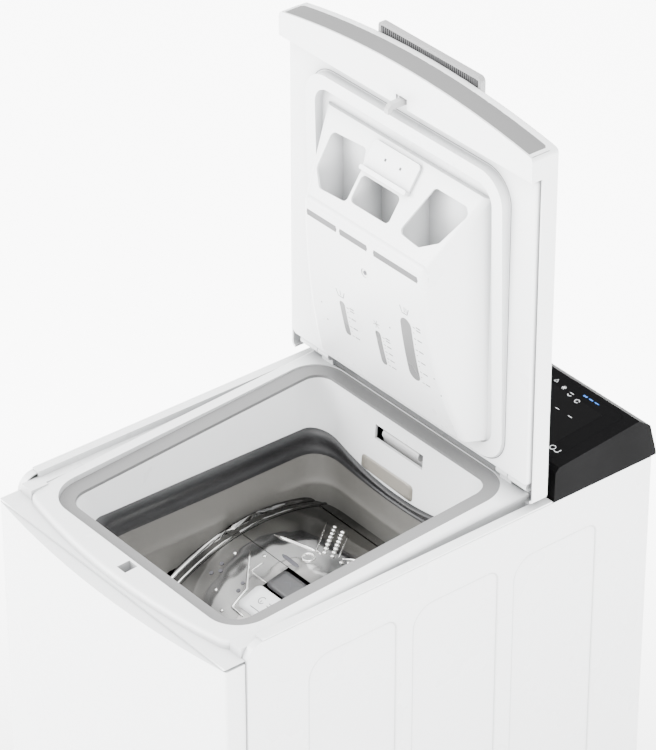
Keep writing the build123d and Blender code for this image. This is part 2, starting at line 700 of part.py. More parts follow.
mouth_angle = atan((base_y - 5 - nose_y - 5) / (dispenser_top - 250.0))
mouth_plane = Plane((0, (base_y + nose_y) / 2, nose_z + 12 + (dispenser_top - 250.0) / 2),
                    x_dir=(1, 0, 0), z_dir=(0, -cos(mouth_angle), sin(mouth_angle)))
screw_y, screw_above = nose_y + 3.0, 199.0
screw_head_radius, screw_head, screw_radius, screw_length = 5.5, 3.0, 2.2, 12.0
window_spots = {"prewash": (-47.0, 116.0, 46.0, 9.0), "softener": (10.0, 106.0, 46.0, 9.0),
                "main_wash": (63.0, 132.0, 82.0, 18.0)}


def window_outline(spot, inset):
    """Rounded slot of one level window, drawn on a plane facing the front."""
    x, above, height, width = spot
    with Locations((x, hinge_z + above)):
        RectangleRounded(width - 2 * inset, height - 2 * inset, (width - 2 * inset) / 2 - 0.01)


with BuildPart() as dispenser_box:
    add(dispenser_block.part)
    add(dispenser_space.part, mode=Mode.SUBTRACT)
    # mouths of the side compartments, and the smaller one of the softener below its cap
    with BuildSketch(mouth_plane):
        prewash_mouth = ((-104, 24), (-50, 27), (-43, 8), (-43, -33), (-86, -35), (-102, -18))
        main_wash_mouth = ((59, 29), (108, 29), (116, 22), (97, -18), (74, -33), (40, -30))
        for corners in (prewash_mouth, main_wash_mouth):
            with BuildLine(mode=Mode.PRIVATE) as outline:
                Polyline(*corners, close=True)
            mouth = make_face(outline.edges(), mode=Mode.PRIVATE).face()
            add(mouth.fillet_2d(6, mouth.vertices()))
        with Locations((-8, -14)):
            RectangleRounded(62, 32, 6)
    extrude(amount=12, both=True, mode=Mode.SUBTRACT)
    # overflow slots under the nose
    with BuildSketch(Plane.XZ.offset(-nose_y - 8)):
        for x, width in ((-68.5, 50), (-16.5, 46), (52, 72)):
            with Locations((x, nose_z - 6)):
                SlotOverall(width, 6)
    extrude(amount=30, mode=Mode.SUBTRACT)
    with BuildSketch(Plane.XZ.offset(-base_y + 10)):
        for spot in window_spots.values():
            window_outline(spot, 0)
    extrude(amount=80, mode=Mode.SUBTRACT)
    # blind hole of the fixing screw, with its seat
    with Locations(Pos(0, screw_y, hinge_z + screw_above) * Rot(90, 0, 0)):
        Cylinder(screw_head_radius, 2 * screw_head, mode=Mode.SUBTRACT)
        Cylinder(screw_radius, 2 * screw_length, mode=Mode.SUBTRACT)
finish(dispenser_box.part, "dispenser_box", white)

with BuildPart() as level_windows:
    with BuildSketch(Plane.YZ.offset(-dispenser_half)):
        dispenser_profile(0.2)
    extrude(amount=2 * dispenser_half)
    with BuildSketch(Plane.YZ.offset(-dispenser_half)):
        dispenser_profile(dispenser_wall - 0.8)
    extrude(amount=2 * dispenser_half, mode=Mode.SUBTRACT)
    with BuildSketch(Plane.XZ.offset(-base_y + 10)):
        for spot in window_spots.values():
            window_outline(spot, 0.1)
    extrude(amount=80, mode=Mode.INTERSECT)
finish(level_windows.part, "level_windows", mid_grey)

cap_high, cap_low, cap_left, cap_right, cap_thickness = 41.0, 6.0, -42.0, 32.0, 3.0
with BuildPart() as softener_cap:
    with BuildSketch(mouth_plane.offset(0.3)):
        with Locations(((cap_left + cap_right) / 2, (cap_high + cap_low) / 2)):
            RectangleRounded(cap_right - cap_left, cap_high - cap_low, 5)
    extrude(amount=cap_thickness)
    with BuildSketch(mouth_plane.offset(0.3)):
        with Locations(((cap_left + cap_right) / 2, cap_low + 2.5)):
            RectangleRounded(cap_right - cap_left, 5, 2.4)
    extrude(amount=cap_thickness + 4)
finish(softener_cap.part, "softener_cap", white)

with BuildPart() as dispenser_screw:
    with Locations(Pos(0, screw_y, hinge_z + screw_above) * Rot(90, 0, 0)):
        Cylinder(screw_head_radius, screw_head, align=(Align.CENTER, Align.CENTER, Align.MAX))
        Cylinder(screw_radius, screw_length, align=(Align.CENTER, Align.CENTER, Align.MAX))
finish(dispenser_screw.part, "dispenser_screw", steel)

# ---- tub, drum and drive ------------------------------------------------------------------------
hub_radius = 38.0
hub_inset = 9.0
bearing_radius = 26.0
tub_end = 3.5


def x_cylinder(radius, low_x, high_x, mode=Mode.ADD, y=axle_y, z=axle_z):
    """Round bar along X between two positions."""
    with BuildSketch(Plane.YZ.offset(low_x)) as section:
        with Locations((y, z)):
            Circle(radius)
    extrude(section.sketch, amount=high_x - low_x, mode=mode)


for side, name in ((-1, "left"), (1, "right")):
    with BuildPart() as tub_half_shell:
        low_x, high_x = sorted((0.0, side * tub_half))
        x_cylinder(tub_outer_radius, low_x, high_x)
        low_x, high_x = sorted((0.0, side * (tub_half - tub_end)))
        x_cylinder(tub_inner_radius, low_x - (1 if side > 0 else 0), high_x + (1 if side < 0 else 0),
                   mode=Mode.SUBTRACT)
        low_x, high_x = sorted((side * (tub_half - hub_inset), side * (tub_half + 5)))
        x_cylinder(hub_radius, low_x, high_x)
        x_cylinder(bearing_radius, low_x - 1, high_x + 1, mode=Mode.SUBTRACT)
        throat_body(0, mode=Mode.SUBTRACT)
    finish(tub_half_shell.part, f"tub_{name}", mid_grey)

with BuildPart() as drum_bearings:
    for side in (-1, 1):
        low_x, high_x = sorted((side * (tub_half - hub_inset), side * (tub_half + 5)))
        x_cylinder(bearing_radius, low_x, high_x)
    x_cylinder(shaft_radius + pin_clearance, -200, 200, mode=Mode.SUBTRACT)
finish(drum_bearings.part, "drum_bearings", steel)

with BuildPart() as drum_shell:
    x_cylinder(drum_radius, -drum_half, drum_half)
    x_cylinder(drum_radius - drum_sheet, -drum_half - 1, drum_half + 1, mode=Mode.SUBTRACT)
    # loading opening, closed by two doors
    with BuildSketch(Plane((0, axle_y, axle_z), x_dir=(1, 0, 0),
                           z_dir=(0, -sin(radians(door_tilt)), cos(radians(door_tilt))))):
        Rectangle(2 * door_half + 2, 2 * drum_radius * sin(radians(door_span)) + 2)
    extrude(amount=300, mode=Mode.SUBTRACT)
finish(drum_shell.part, "drum_shell", steel)

lifter_height = 46.0
end_sheet = 1.5

for side, name in ((-1, "left"), (1, "right")):
    with BuildPart() as drum_end:
        low_x, high_x = sorted((side * drum_half, side * (drum_half + end_sheet)))
        x_cylinder(drum_radius, low_x, high_x)
        low_x, high_x = sorted((side * (drum_half + end_sheet), side * (drum_half + end_sheet + 4)))
        x_cylinder(60, low_x, high_x)
        outer_x = 176.0 if side > 0 else tub_half + 6
        low_x, high_x = sorted((side * (drum_half + end_sheet + 4), side * outer_x))
        x_cylinder(shaft_radius, low_x, high_x)
    finish(drum_end.part, f"drum_end_{name}", steel)

with BuildPart() as drum_lifters:
    for angle in (90, 180, 270):
        turn = Rot(angle - door_tilt, 0, 0)
        with BuildSketch(Plane.YZ.offset(-drum_half + 6)) as section:
            with BuildLine():
                Polyline((-34, drum_radius - 12), (34, drum_radius - 12),
                         (9, drum_radius - lifter_height - 12), (-9, drum_radius - lifter_height - 12),
                         (-34, drum_radius - 12))
            make_face()
            with Locations((0, drum_radius - 8)):
                Rectangle(68, 8.5)
        bar = extrude(section.sketch, amount=2 * drum_half - 12, mode=Mode.PRIVATE)
        add(Pos(0, axle_y, axle_z) * turn * bar)
    x_cylinder(drum_radius - drum_sheet, -drum_half, drum_half, mode=Mode.INTERSECT)
finish(drum_lifters.part, "drum_lifters", mid_grey)

door_gap = 0.8
door_pin_radius = 2.5
door_pin_inset = 7.0
latch_width = 46.0


def door_sector(low_angle, high_angle, radius, thickness, half_width, mode=Mode.ADD):
    """Piece of cylindrical sheet between two angles measured from the parked door direction."""
    inner = radius - thickness
    points = []
    for r in (radius, inner):
        for a in (low_angle, (low_angle + high_angle) / 2, high_angle):
            t = radians(a + door_tilt)
            points.append((axle_y - r * sin(t), axle_z + r * cos(t)))
    with BuildSketch(Plane.YZ.offset(-half_width)) as section:
        with BuildLine():
            ThreePointArc(*points[0:3])
            Line(points[2], points[5])
            ThreePointArc(points[5], points[4], points[3])
            Line(points[3], points[0])
        make_face()
    extrude(section.sketch, amount=2 * half_width, mode=mode)


def door_point(angle, radius):
    """Position in the YZ plane at an angle forward of the parked door direction."""
    t = radians(angle + door_tilt)
    return axle_y - radius * sin(t), axle_z + radius * cos(t)


gap_angle = degrees(door_gap / drum_radius)
pin_angle = door_span - 1.2
for side, name in ((1, "front"), (-1, "rear")):
    pin_y, pin_z = door_point(side * pin_angle, drum_radius - door_pin_inset)
    with BuildPart() as drum_door:
        low, high = sorted((side * gap_angle / 2, side * (door_span - 0.3)))
        door_sector(low, high, drum_radius - 0.2, drum_sheet, door_half)
        low, high = sorted((side * (pin_angle - 0.9), side * (pin_angle + 0.9)))
        door_sector(low, high, drum_radius - 0.6, door_pin_inset - 0.6, door_half - 8)
        with BuildSketch(Plane.YZ.offset(-door_half + 8)) as eye:
            with Locations((pin_y, pin_z)):
                Circle(door_pin_radius + 2)
        extrude(eye.sketch, amount=2 * door_half - 16)
        with BuildSketch(Plane.YZ.offset(-door_half)) as hole:
            with Locations((pin_y, pin_z)):
                Circle(door_pin_radius + pin_clearance)
        extrude(hole.sketch, amount=2 * door_half, mode=Mode.SUBTRACT)
        if side > 0:
            # opening for the latch button at the free edge of the front door
            door_sector(-5, 9, drum_radius + 5, 20, latch_width / 2, mode=Mode.SUBTRACT)
    finish(drum_door.part, f"drum_door_{name}", steel)

door_seat_half = door_half + 9.0
with BuildPart() as drum_door_pins:
    # seats under the drum sheet carry both ends of each pin
    for side in (-1, 1):
        seat_angles = (side * pin_angle - 1.2, side * pin_angle + 1.2)
        door_sector(*seat_angles, drum_radius - drum_sheet - 0.1, door_pin_inset + 1, door_seat_half)
    for side in (-1, 1):
        seat_angles = (side * pin_angle - 2, side * pin_angle + 2)
        door_sector(*seat_angles, drum_radius, door_pin_inset + 6, door_half + 1.2, mode=Mode.SUBTRACT)
    for side in (-1, 1):
        pin_spot = door_point(side * pin_angle, drum_radius - door_pin_inset)
        x_cylinder(door_pin_radius, -door_seat_half, door_seat_half, y=pin_spot[0], z=pin_spot[1])
finish(drum_door_pins.part, "drum_door_pins", steel)

with BuildPart() as drum_latch:
    door_sector(1.2, 8.4, drum_radius - 0.4, 7, latch_width / 2 - 0.6)
finish(drum_latch.part, "drum_latch", dark)

# Drive on the right-hand side: drum pulley, belt, motor pulley and motor
pulley_radius = 130.0
pulley_low_x, pulley_high_x = 170.0, 182.0
motor_y, motor_z = 70.0, 150.0
motor_pulley_radius = 13.0
motor_radius = 58.0
belt_thickness = 2.0
belt_low_x, belt_high_x = 172.0, 180.0

with BuildPart() as drum_pulley:
    x_cylinder(pulley_radius, pulley_low_x, pulley_high_x)
    x_cylinder(pulley_radius - 9, pulley_low_x + 3, pulley_high_x + 1, mode=Mode.SUBTRACT)
    x_cylinder(30, pulley_low_x, pulley_high_x)
    with BuildSketch(Plane.YZ.offset(pulley_low_x - 1)):
        with Locations((axle_y, axle_z)):
            with PolarLocations(75, 6):
                Circle(26)
    extrude(amount=20, mode=Mode.SUBTRACT)
    x_cylinder(shaft_radius, pulley_low_x - 1, 176.0, mode=Mode.SUBTRACT)
finish(drum_pulley.part, "drum_pulley", light_grey)

with BuildPart() as motor:
    x_cylinder(motor_radius, 14, 130, y=motor_y, z=motor_z)
    x_cylinder(motor_radius - 14, 4, 136, y=motor_y, z=motor_z)
    box_between((24, motor_y - 20, motor_z + motor_radius - 8),
                (120, motor_y + 20, motor_z + motor_radius + 62))
    x_cylinder(tub_outer_radius, -200, 200, mode=Mode.SUBTRACT)
    x_cylinder(6 + pin_clearance, 100, 160, mode=Mode.SUBTRACT, y=motor_y, z=motor_z)
finish(motor.part, "motor", dark)

with BuildPart() as motor_pulley:
    x_cylinder(6, 110, 184, y=motor_y, z=motor_z)
    x_cylinder(motor_pulley_radius, pulley_low_x, pulley_high_x, y=motor_y, z=motor_z)
finish(motor_pulley.part, "motor_pulley", steel)

with BuildPart() as drive_belt:
    with BuildSketch(Plane.YZ.offset(belt_low_x)):
        for grow, mode in ((belt_thickness + 0.3, Mode.ADD), (0.3, Mode.SUBTRACT)):
            with BuildSketch(mode=mode) as loop:
                with Locations((axle_y, axle_z)):
                    Circle(pulley_radius + grow)
                with Locations((motor_y, motor_z)):
                    Circle(motor_pulley_radius + grow)
                make_hull()
    extrude(amount=belt_high_x - belt_low_x)
finish(drive_belt.part, "drive_belt", dark)

# ---- weights, heater, suspension and pump -------------------------------------------------------
weight_thickness = 16.0
with BuildPart() as counterweights:
    box_between((-130, axle_y - 266, axle_z - 150), (130, axle_y - 150, axle_z + 60))
    box_between((-130, axle_y + 150, axle_z - 60), (130, axle_y + 266, axle_z + 150))
    x_cylinder(tub_outer_radius, -200, 200, mode=Mode.SUBTRACT)
    x_cylinder(tub_outer_radius + weight_thickness, -200, 200, mode=Mode.INTERSECT)
finish(counterweights.part, "counterweights", mid_grey)

heater_z = axle_z - drum_radius - 6.0
heater_radius, heater_spread = 2.6, 16.0
heater_foot_x = -tub_half + tub_end + 0.1
with BuildPart() as heater:
    # two bars joined at the right, standing on a foot at the left end wall of the tub
    for y in (axle_y - heater_spread, axle_y + heater_spread):
        x_cylinder(heater_radius, heater_foot_x, 110, y=y, z=heater_z)
    box_between((107, axle_y - heater_spread, heater_z - 2), (111, axle_y + heater_spread, heater_z + 1.6))
    box_between((heater_foot_x, axle_y - 24, heater_z - 4), (heater_foot_x + 3, axle_y + 24, heater_z + 4))
    x_cylinder(drum_radius + 1.5, -200, 200, mode=Mode.SUBTRACT)
finish(heater.part, "heater", steel)

strut_x = 150.0
strut_y = 105.0
strut_radius = 11.0
ear_z = axle_z - 190.0
with BuildPart() as tub_ears:
    for side in (-1, 1):
        for y_side in (-1, 1):
            low_y, high_y = sorted((axle_y + y_side * (strut_y - 20), axle_y + y_side * (strut_y + 26)))
            box_between((side * strut_x - 8, low_y, ear_z - 40), (side * strut_x + 8, high_y, ear_z + 20))
    x_cylinder(tub_outer_radius, -200, 200, mode=Mode.SUBTRACT)
finish(tub_ears.part, "tub_ears", mid_grey)

with BuildPart() as suspension_struts:
    for side in (-1, 1):
        for y_side in (-1, 1):
            spot = (side * strut_x, axle_y + y_side * (strut_y + 8))
            with BuildSketch(Plane.XY.offset(base_height + wall)):
                with Locations(spot):
                    Circle(strut_radius)
            extrude(amount=ear_z - 40 - base_height - wall)
finish(suspension_struts.part, "suspension_struts", dark)

with BuildPart() as drain_pump:
    with Locations(Pos(pump_x, pump_y, pump_z) * Rot(90, 0, 0)):
        Cylinder(cap_radius + 4, 110)
    with Locations((pump_x, pump_y + 10, pump_z + 30)):
        Cylinder(14, 40)
    box_between((pump_x - 30, pump_y - 40, base_height + wall),
                (pump_x + 30, pump_y + 40, pump_z - cap_radius + 6))
    with Locations(Pos(pump_x, pump_y - 55, pump_z) * Rot(90, 0, 0)):
        Cylinder(cap_radius, 60, mode=Mode.SUBTRACT)
finish(drain_pump.part, "drain_pump", dark)

with BuildPart() as filter_cap:
    with Locations(Pos(pump_x, pump_y - 55, pump_z) * Rot(90, 0, 0)):
        Cylinder(cap_radius - pin_clearance, 52, align=(Align.CENTER, Align.CENTER, Align.CENTER))
    box_between((pump_x - 22, pump_y - 89, pump_z - 5), (pump_x + 22, pump_y - 80, pump_z + 5))
finish(filter_cap.part, "filter_cap", mid_grey)

# ---- frame rails, lid lock and rear connections -------------------------------------------------
rail_half = side_half - flange - 0.5
lock_height = 34.0
lock_foot_z = worktop_foot - lock_height
rail_low_front = (side_front_y - 18, lock_foot_z - 22)
rail_high_front = (side_front_y + 8, lock_foot_z)
rail_low_rear = (rear_y - 26, cabinet_top - 40)
rail_high_rear = (rear_y - 0.5, cabinet_top - 2)
rail_sheet = 1.5
with BuildPart() as frame_rails:
    for low, high in ((rail_low_front, rail_high_front), (rail_low_rear, rail_high_rear)):
        box_between((-rail_half, *low), (rail_half, *high))
        box_between((-rail_half + rail_sheet, low[0] + rail_sheet, low[1] - 1),
                    (rail_half - rail_sheet, high[0] - rail_sheet, high[1] - rail_sheet), mode=Mode.SUBTRACT)
finish(frame_rails.part, "frame_rails", steel)

with BuildPart() as lid_lock:
    box_between((-28, hook_slot_y - 12, lock_foot_z), (28, hook_slot_y + 12, worktop_foot - 0.2))
    box_between((-8, hook_slot_y - 8, worktop_foot - 20), (8, hook_slot_y + 10, worktop_foot + 1),
                mode=Mode.SUBTRACT)
finish(lid_lock.part, "lid_lock", dark)

with BuildPart() as inlet_valve:
    with Locations(Pos(valve_x, rear_y - 40, valve_z) * Rot(90, 0, 0)):
        Cylinder(20, 50)
    with Locations(Pos(valve_x, rear_y - 8, valve_z) * Rot(90, 0, 0)):
        Cylinder(valve_thread_radius, 28)
        Cylinder(valve_bore_radius, 60, mode=Mode.SUBTRACT)
    with Locations((valve_x, rear_y - 45, valve_z + 28)):
        Cylinder(9, 30)
finish(inlet_valve.part, "inlet_valve", light_grey)

with BuildPart() as drain_outlet:
    with Locations(Pos(drain_x, rear_y - 8, valve_z) * Rot(90, 0, 0)):
        Cylinder(drain_radius + 5, 12)
    with Locations(Pos(drain_x, rear_y, valve_z) * Rot(90, 0, 0)):
        Cylinder(drain_radius, 11)
    with Locations(Pos(drain_x, rear_y, valve_z) * Rot(90, 0, 0)):
        Cylinder(drain_radius - 2.5, 60, mode=Mode.SUBTRACT)
finish(drain_outlet.part, "drain_outlet", dark)

with BuildPart() as cable_gland:
    with Locations(Pos(gland_x, rear_y - 4, valve_z) * Rot(90, 0, 0)):
        Cylinder(gland_radius + 4, 7.6)
    with Locations(Pos(gland_x, rear_y, valve_z) * Rot(90, 0, 0)):
        Cylinder(gland_radius, 11)
        Cylinder(3.6, 60, mode=Mode.SUBTRACT)
finish(cable_gland.part, "cable_gland", dark)

# ---- control panel ------------------------------------------------------------------------------
fascia_angle = atan(fascia_climb / fascia_length)
fascia_front_y = panel_front_y + 6.0
fascia_back_y = fascia_front_y + fascia_length
fascia_z = cabinet_top + fascia_rise
fascia_normal = (0, -sin(fascia_angle), cos(fascia_angle))
fascia_plane = Plane((0, fascia_front_y, fascia_z), x_dir=(1, 0, 0), z_dir=fascia_normal)
panel_foot = cabinet_top + panel_rise


def panel_profile(inset, foot):
    """Side view of the control panel."""
    with BuildLine() as outline:
        Polyline((panel_front_y + inset, foot), (panel_front_y + 1 + inset, fascia_z - 5 - inset),
                 (fascia_front_y + inset * 0.4, fascia_z - inset),
                 (fascia_back_y - inset * 0.3, fascia_z + fascia_climb - inset),
                 (rear_edge_y - 10 - inset * 0.6, cabinet_top + 41 - inset * 0.4),
                 (rear_edge_y - inset, cabinet_top + 4), (rear_edge_y - inset, foot),
                 (panel_front_y + inset, foot))
    make_face(outline.edges())


fascia_half = 182.0
fascia_depth = 2.5
housing_wall = 4.5
fascia_length_used = 104.0
fascia_middle = 56.0
knob_x, knob_radius, knob_height = -95.0, 24.0, 17.0
knob_shaft_radius = 4.0
glass_x, glass_width, glass_length, glass_depth = 88.0, 150.0, 74.0, 1.6
button_radius = 8.0
button_travel = 1.5
button_spots = {"power_button": (-20.0, fascia_middle), "start_button": (-150.0, fascia_middle)}

with BuildPart() as panel_housing:
    with BuildSketch(Plane.YZ.offset(-side_half)):
        panel_profile(0, panel_foot)
    extrude(amount=2 * side_half)
    fillet(panel_housing.edges().filter_by(Axis.X).group_by(Axis.Z)[-1], 2)
    with BuildSketch(Plane.YZ.offset(-side_half + housing_wall)):
        panel_profile(housing_wall, panel_foot - 10)
    extrude(amount=2 * (side_half - housing_wall), mode=Mode.SUBTRACT)
    with BuildSketch(fascia_plane.offset(-fascia_depth)):
        with Locations((0, fascia_middle)):
            RectangleRounded(2 * fascia_half, fascia_length_used, 8)
    extrude(amount=20, mode=Mode.SUBTRACT)
    with BuildSketch(fascia_plane.offset(-20)):
        with Locations((0, fascia_middle)):
            RectangleRounded(2 * fascia_half - 16, fascia_length_used - 16, 5)
    extrude(amount=40, mode=Mode.SUBTRACT)
finish(panel_housing.part, "panel_housing", dark)

with BuildPart() as panel_fascia:
    with BuildSketch(fascia_plane.offset(-fascia_depth)):
        with Locations((0, fascia_middle)):
            RectangleRounded(2 * fascia_half - 0.4, fascia_length_used - 0.4, 8)
    extrude(amount=fascia_depth)
    with BuildSketch(fascia_plane.offset(-glass_depth)):
        with Locations((glass_x, fascia_middle)):
            RectangleRounded(glass_width, glass_length, 3)
    extrude(amount=10, mode=Mode.SUBTRACT)
    with BuildSketch(fascia_plane):
        with Locations((knob_x, fascia_middle)):
            Circle(knob_shaft_radius + pin_clearance)
        for spot in button_spots.values():
            with Locations(spot):
                Circle(button_radius + 0.1)
    extrude(amount=10, both=True, mode=Mode.SUBTRACT)
finish(panel_fascia.part, "panel_fascia", dark)

with BuildPart() as display_glass:
    with BuildSketch(fascia_plane.offset(-glass_depth)):
        with Locations((glass_x, fascia_middle)):
            RectangleRounded(glass_width - 0.2, glass_length - 0.2, 3)
    extrude(amount=glass_depth + 0.1)
finish(display_glass.part, "display_glass", dark)

with BuildPart() as programme_knob:
    with BuildSketch(fascia_plane.offset(0.8)):
        with Locations((knob_x, fascia_middle)):
            Circle(knob_radius)
    extrude(amount=knob_height)
    fillet(programme_knob.edges().group_by(Axis.Z)[-1], 2)
    with BuildSketch(fascia_plane.offset(-14)):
        with Locations((knob_x, fascia_middle)):
            Circle(knob_shaft_radius)
    extrude(amount=15)
    with BuildSketch(fascia_plane.offset(0.8 + knob_height - 1)):
        with Locations((knob_x, fascia_middle + knob_radius - 7)):
            Rectangle(2, 8)
    extrude(amount=2)
finish(programme_knob.part, "programme_knob", light_grey)

for name, spot in button_spots.items():
    with BuildPart() as button:
        with BuildSketch(fascia_plane.offset(-8)):
            with Locations(spot):
                Circle(button_radius)
        extrude(amount=8 + button_travel + 0.7)
    finish(button.part, name, light_grey)

with BuildPart() as control_board:
    with BuildSketch(fascia_plane.offset(-26)):
        with Locations((0, fascia_middle)):
            Rectangle(320, 84)
    extrude(amount=1.6)
    with BuildSketch(fascia_plane.offset(-24.4)):
        for x in (-120, -40, 50, 120):
            with Locations((x, fascia_middle)):
                Rectangle(34, 40)
    extrude(amount=6)
    for x in (-150, 150):
        with BuildSketch(fascia_plane.offset(-24.5)):
            with Locations((x, fascia_middle - 35), (x, fascia_middle + 35)):
                Rectangle(10, 14)
        extrude(amount=24.5 - fascia_depth - 0.2)
finish(control_board.part, "control_board", (0.1, 0.35, 0.18))

print(f"hinge axis ({hinge_y:.2f}, {hinge_z:.2f}); drum axis ({axle_y:.2f}, {axle_z:.2f})")
for angle in (pin_angle, -pin_angle):
    print("door pin ({:.3f}, {:.3f})".format(*door_point(angle, drum_radius - door_pin_inset)))
print("nodes", len(nodes))
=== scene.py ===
"""Top load washing machine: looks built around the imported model."""
import json
import math

import bmesh
import bpy
from mathutils import Matrix, Vector
from mathutils.bvhtree import BVHTree


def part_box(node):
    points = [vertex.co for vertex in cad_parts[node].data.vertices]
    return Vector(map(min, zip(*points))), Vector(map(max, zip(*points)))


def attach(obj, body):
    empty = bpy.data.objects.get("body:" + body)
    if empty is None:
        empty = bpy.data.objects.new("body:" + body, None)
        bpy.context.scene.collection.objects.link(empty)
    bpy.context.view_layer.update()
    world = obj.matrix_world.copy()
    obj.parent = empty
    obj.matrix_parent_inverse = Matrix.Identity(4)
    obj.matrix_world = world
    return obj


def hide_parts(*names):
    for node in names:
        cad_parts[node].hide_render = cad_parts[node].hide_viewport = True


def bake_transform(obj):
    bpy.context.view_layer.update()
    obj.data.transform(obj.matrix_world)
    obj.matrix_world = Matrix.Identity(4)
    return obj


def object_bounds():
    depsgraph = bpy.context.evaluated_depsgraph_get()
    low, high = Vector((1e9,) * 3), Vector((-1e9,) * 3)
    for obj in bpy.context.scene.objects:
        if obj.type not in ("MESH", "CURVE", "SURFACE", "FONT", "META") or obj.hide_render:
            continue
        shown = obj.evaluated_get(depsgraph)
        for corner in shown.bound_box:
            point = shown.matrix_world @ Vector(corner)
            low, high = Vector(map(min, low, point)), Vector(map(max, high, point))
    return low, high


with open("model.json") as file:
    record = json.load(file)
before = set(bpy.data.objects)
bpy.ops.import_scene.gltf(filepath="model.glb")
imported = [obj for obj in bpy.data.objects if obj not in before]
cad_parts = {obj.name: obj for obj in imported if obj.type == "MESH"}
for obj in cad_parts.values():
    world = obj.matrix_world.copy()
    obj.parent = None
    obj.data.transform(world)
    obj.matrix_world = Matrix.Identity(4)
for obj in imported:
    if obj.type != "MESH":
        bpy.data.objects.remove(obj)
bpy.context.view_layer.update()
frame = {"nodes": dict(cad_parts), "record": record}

record = frame["record"]
joint_at = {j["name"]: j for j in record["behaviour"]["joints"]}
slot_of = {s["node"]: s["material_slot"] for s in record["subparts"]}
MM = 0.001


# ---- materials ----------------------------------------------------------------------------------
class Shader:
    """A small helper round one material's node tree."""

    def __init__(self, name):
        self.material = bpy.data.materials.new(name)
        self.material.use_nodes = True
        self.nodes = self.material.node_tree.nodes
        self.links = self.material.node_tree.links
        self.bsdf = self.nodes["Principled BSDF"]

    def add(self, kind, **values):
        node = self.nodes.new(kind)
        for key, value in values.items():
            if hasattr(node, key):
                setattr(node, key, value)
            else:
                node.inputs[key].default_value = value
        return node

    def link(self, a, b):
        self.links.new(a, b)

    def set(self, **values):
        for key, value in values.items():
            self.bsdf.inputs[key.replace("_", " ")].default_value = value

    def coords(self):
        return self.add("ShaderNodeTexCoord").outputs["Object"]

    def noise(self, scale, detail=3.0, vector=None):
        node = self.add("ShaderNodeTexNoise", Scale=scale, Detail=detail)
        self.link(vector or self.coords(), node.inputs["Vector"])
        return node.outputs["Fac"]

    def math(self, operation, a, b=0.0):
        node = self.add("ShaderNodeMath", operation=operation)
        for index, value in enumerate((a, b)):
            if isinstance(value, (int, float)):
                node.inputs[index].default_value = value
            else:
                self.link(value, node.inputs[index])
        return node.outputs[0]

    def axis(self, name, vector=None):
        node = self.add("ShaderNodeSeparateXYZ")
        self.link(vector or self.coords(), node.inputs[0])
        return node.outputs[name]

    def mix(self, factor, low, high):
        node = self.add("ShaderNodeMix", data_type="RGBA")
        if isinstance(factor, (int, float)):
            node.inputs[0].default_value = factor
        else:
            self.link(factor, node.inputs[0])
        for index, value in ((6, low), (7, high)):
            if isinstance(value, tuple):
                node.inputs[index].default_value = value + (1.0,)
            else:
                self.link(value, node.inputs[index])
        return node.outputs[2]

    def between(self, value, low, high, to_low=0.0, to_high=1.0):
        node = self.add("ShaderNodeMapRange")
        self.link(value, node.inputs[0])
        for index, number in enumerate((low, high, to_low, to_high)):
            node.inputs[index + 1].default_value = number
        return node.outputs[0]

    def ao_painted_shade(self, reach, low, high):
        """1 in the open, less in corners and gaps narrower than reach: an ambient occlusion mask for painting
        shade into colour.
        """
        node = self.add("ShaderNodeAmbientOcclusion", samples=8)
        node.inputs["Distance"].default_value = reach
        return self.between(node.outputs["AO"], low, high)

    def color(self, value):
        self.link(value, self.bsdf.inputs["Base Color"])

    def rough(self, value):
        self.link(value, self.bsdf.inputs["Roughness"])

    def bump(self, height, strength, distance):
        node = self.add("ShaderNodeBump", Strength=strength, Distance=distance)
        self.link(height, node.inputs["Height"])
        self.link(node.outputs[0], self.bsdf.inputs["Normal"])


def moulded(name, low, high, rough_low, rough_high, grain=900.0, depth=0.00004, coat=0.0, shine=0.5,
            painted_gap_shade=None):
    """Plastic, rubber or enamel: two close tones, uneven gloss, fine grain, and, when a gap tone is given,
    painted shade: that darker tone mixed in where ambient occlusion finds corners and gaps.
    """
    s = Shader(name)
    tone = s.mix(s.noise(7.0), low, high)
    # painted shade: the colour falls towards the gap tone in corners and gaps, found by ambient occlusion
    s.color(s.mix(s.ao_painted_shade(0.032, 0.15, 0.97), painted_gap_shade, tone) if painted_gap_shade else tone)
    s.rough(s.between(s.noise(14.0), 0.3, 0.7, rough_low, rough_high))
    s.bump(s.noise(grain, 2.0), 0.25, depth)
    s.set(Coat_Weight=coat, Coat_Roughness=0.12, Specular_IOR_Level=shine)
    return s.material


def steel(name, low, high, rough_low, rough_high, depth=0.00003):
    """Metal with faint lines along X."""
    s = Shader(name)
    stretch = s.add("ShaderNodeMapping")
    stretch.inputs["Scale"].default_value = (3.0, 260.0, 260.0)
    s.link(s.coords(), stretch.inputs["Vector"])
    lines = s.noise(4.0, 4.0, stretch.outputs[0])
    s.color(s.mix(lines, low, high))
    s.rough(s.between(lines, 0.3, 0.7, rough_low, rough_high))
    s.bump(lines, 0.2, depth)
    s.set(Metallic=1.0)
    return s.material


def drum_steel(name, dark, bright):
    """Polished drum sheet: its colour is painted in dark and bright patches as painted reflections, and soft
    waves in its bump break up its real reflections.
    """
    s = Shader(name)
    # painted reflection: colour patches between the dark and bright tones
    s.color(s.mix(s.between(s.noise(11.0, 1.5), 0.42, 0.58), dark, bright))
    s.rough(s.between(s.noise(26.0), 0.3, 0.7, 0.05, 0.10))
    s.bump(s.noise(14.0, 2.0), 0.5, 0.006)
    s.set(Metallic=1.0)
    return s.material


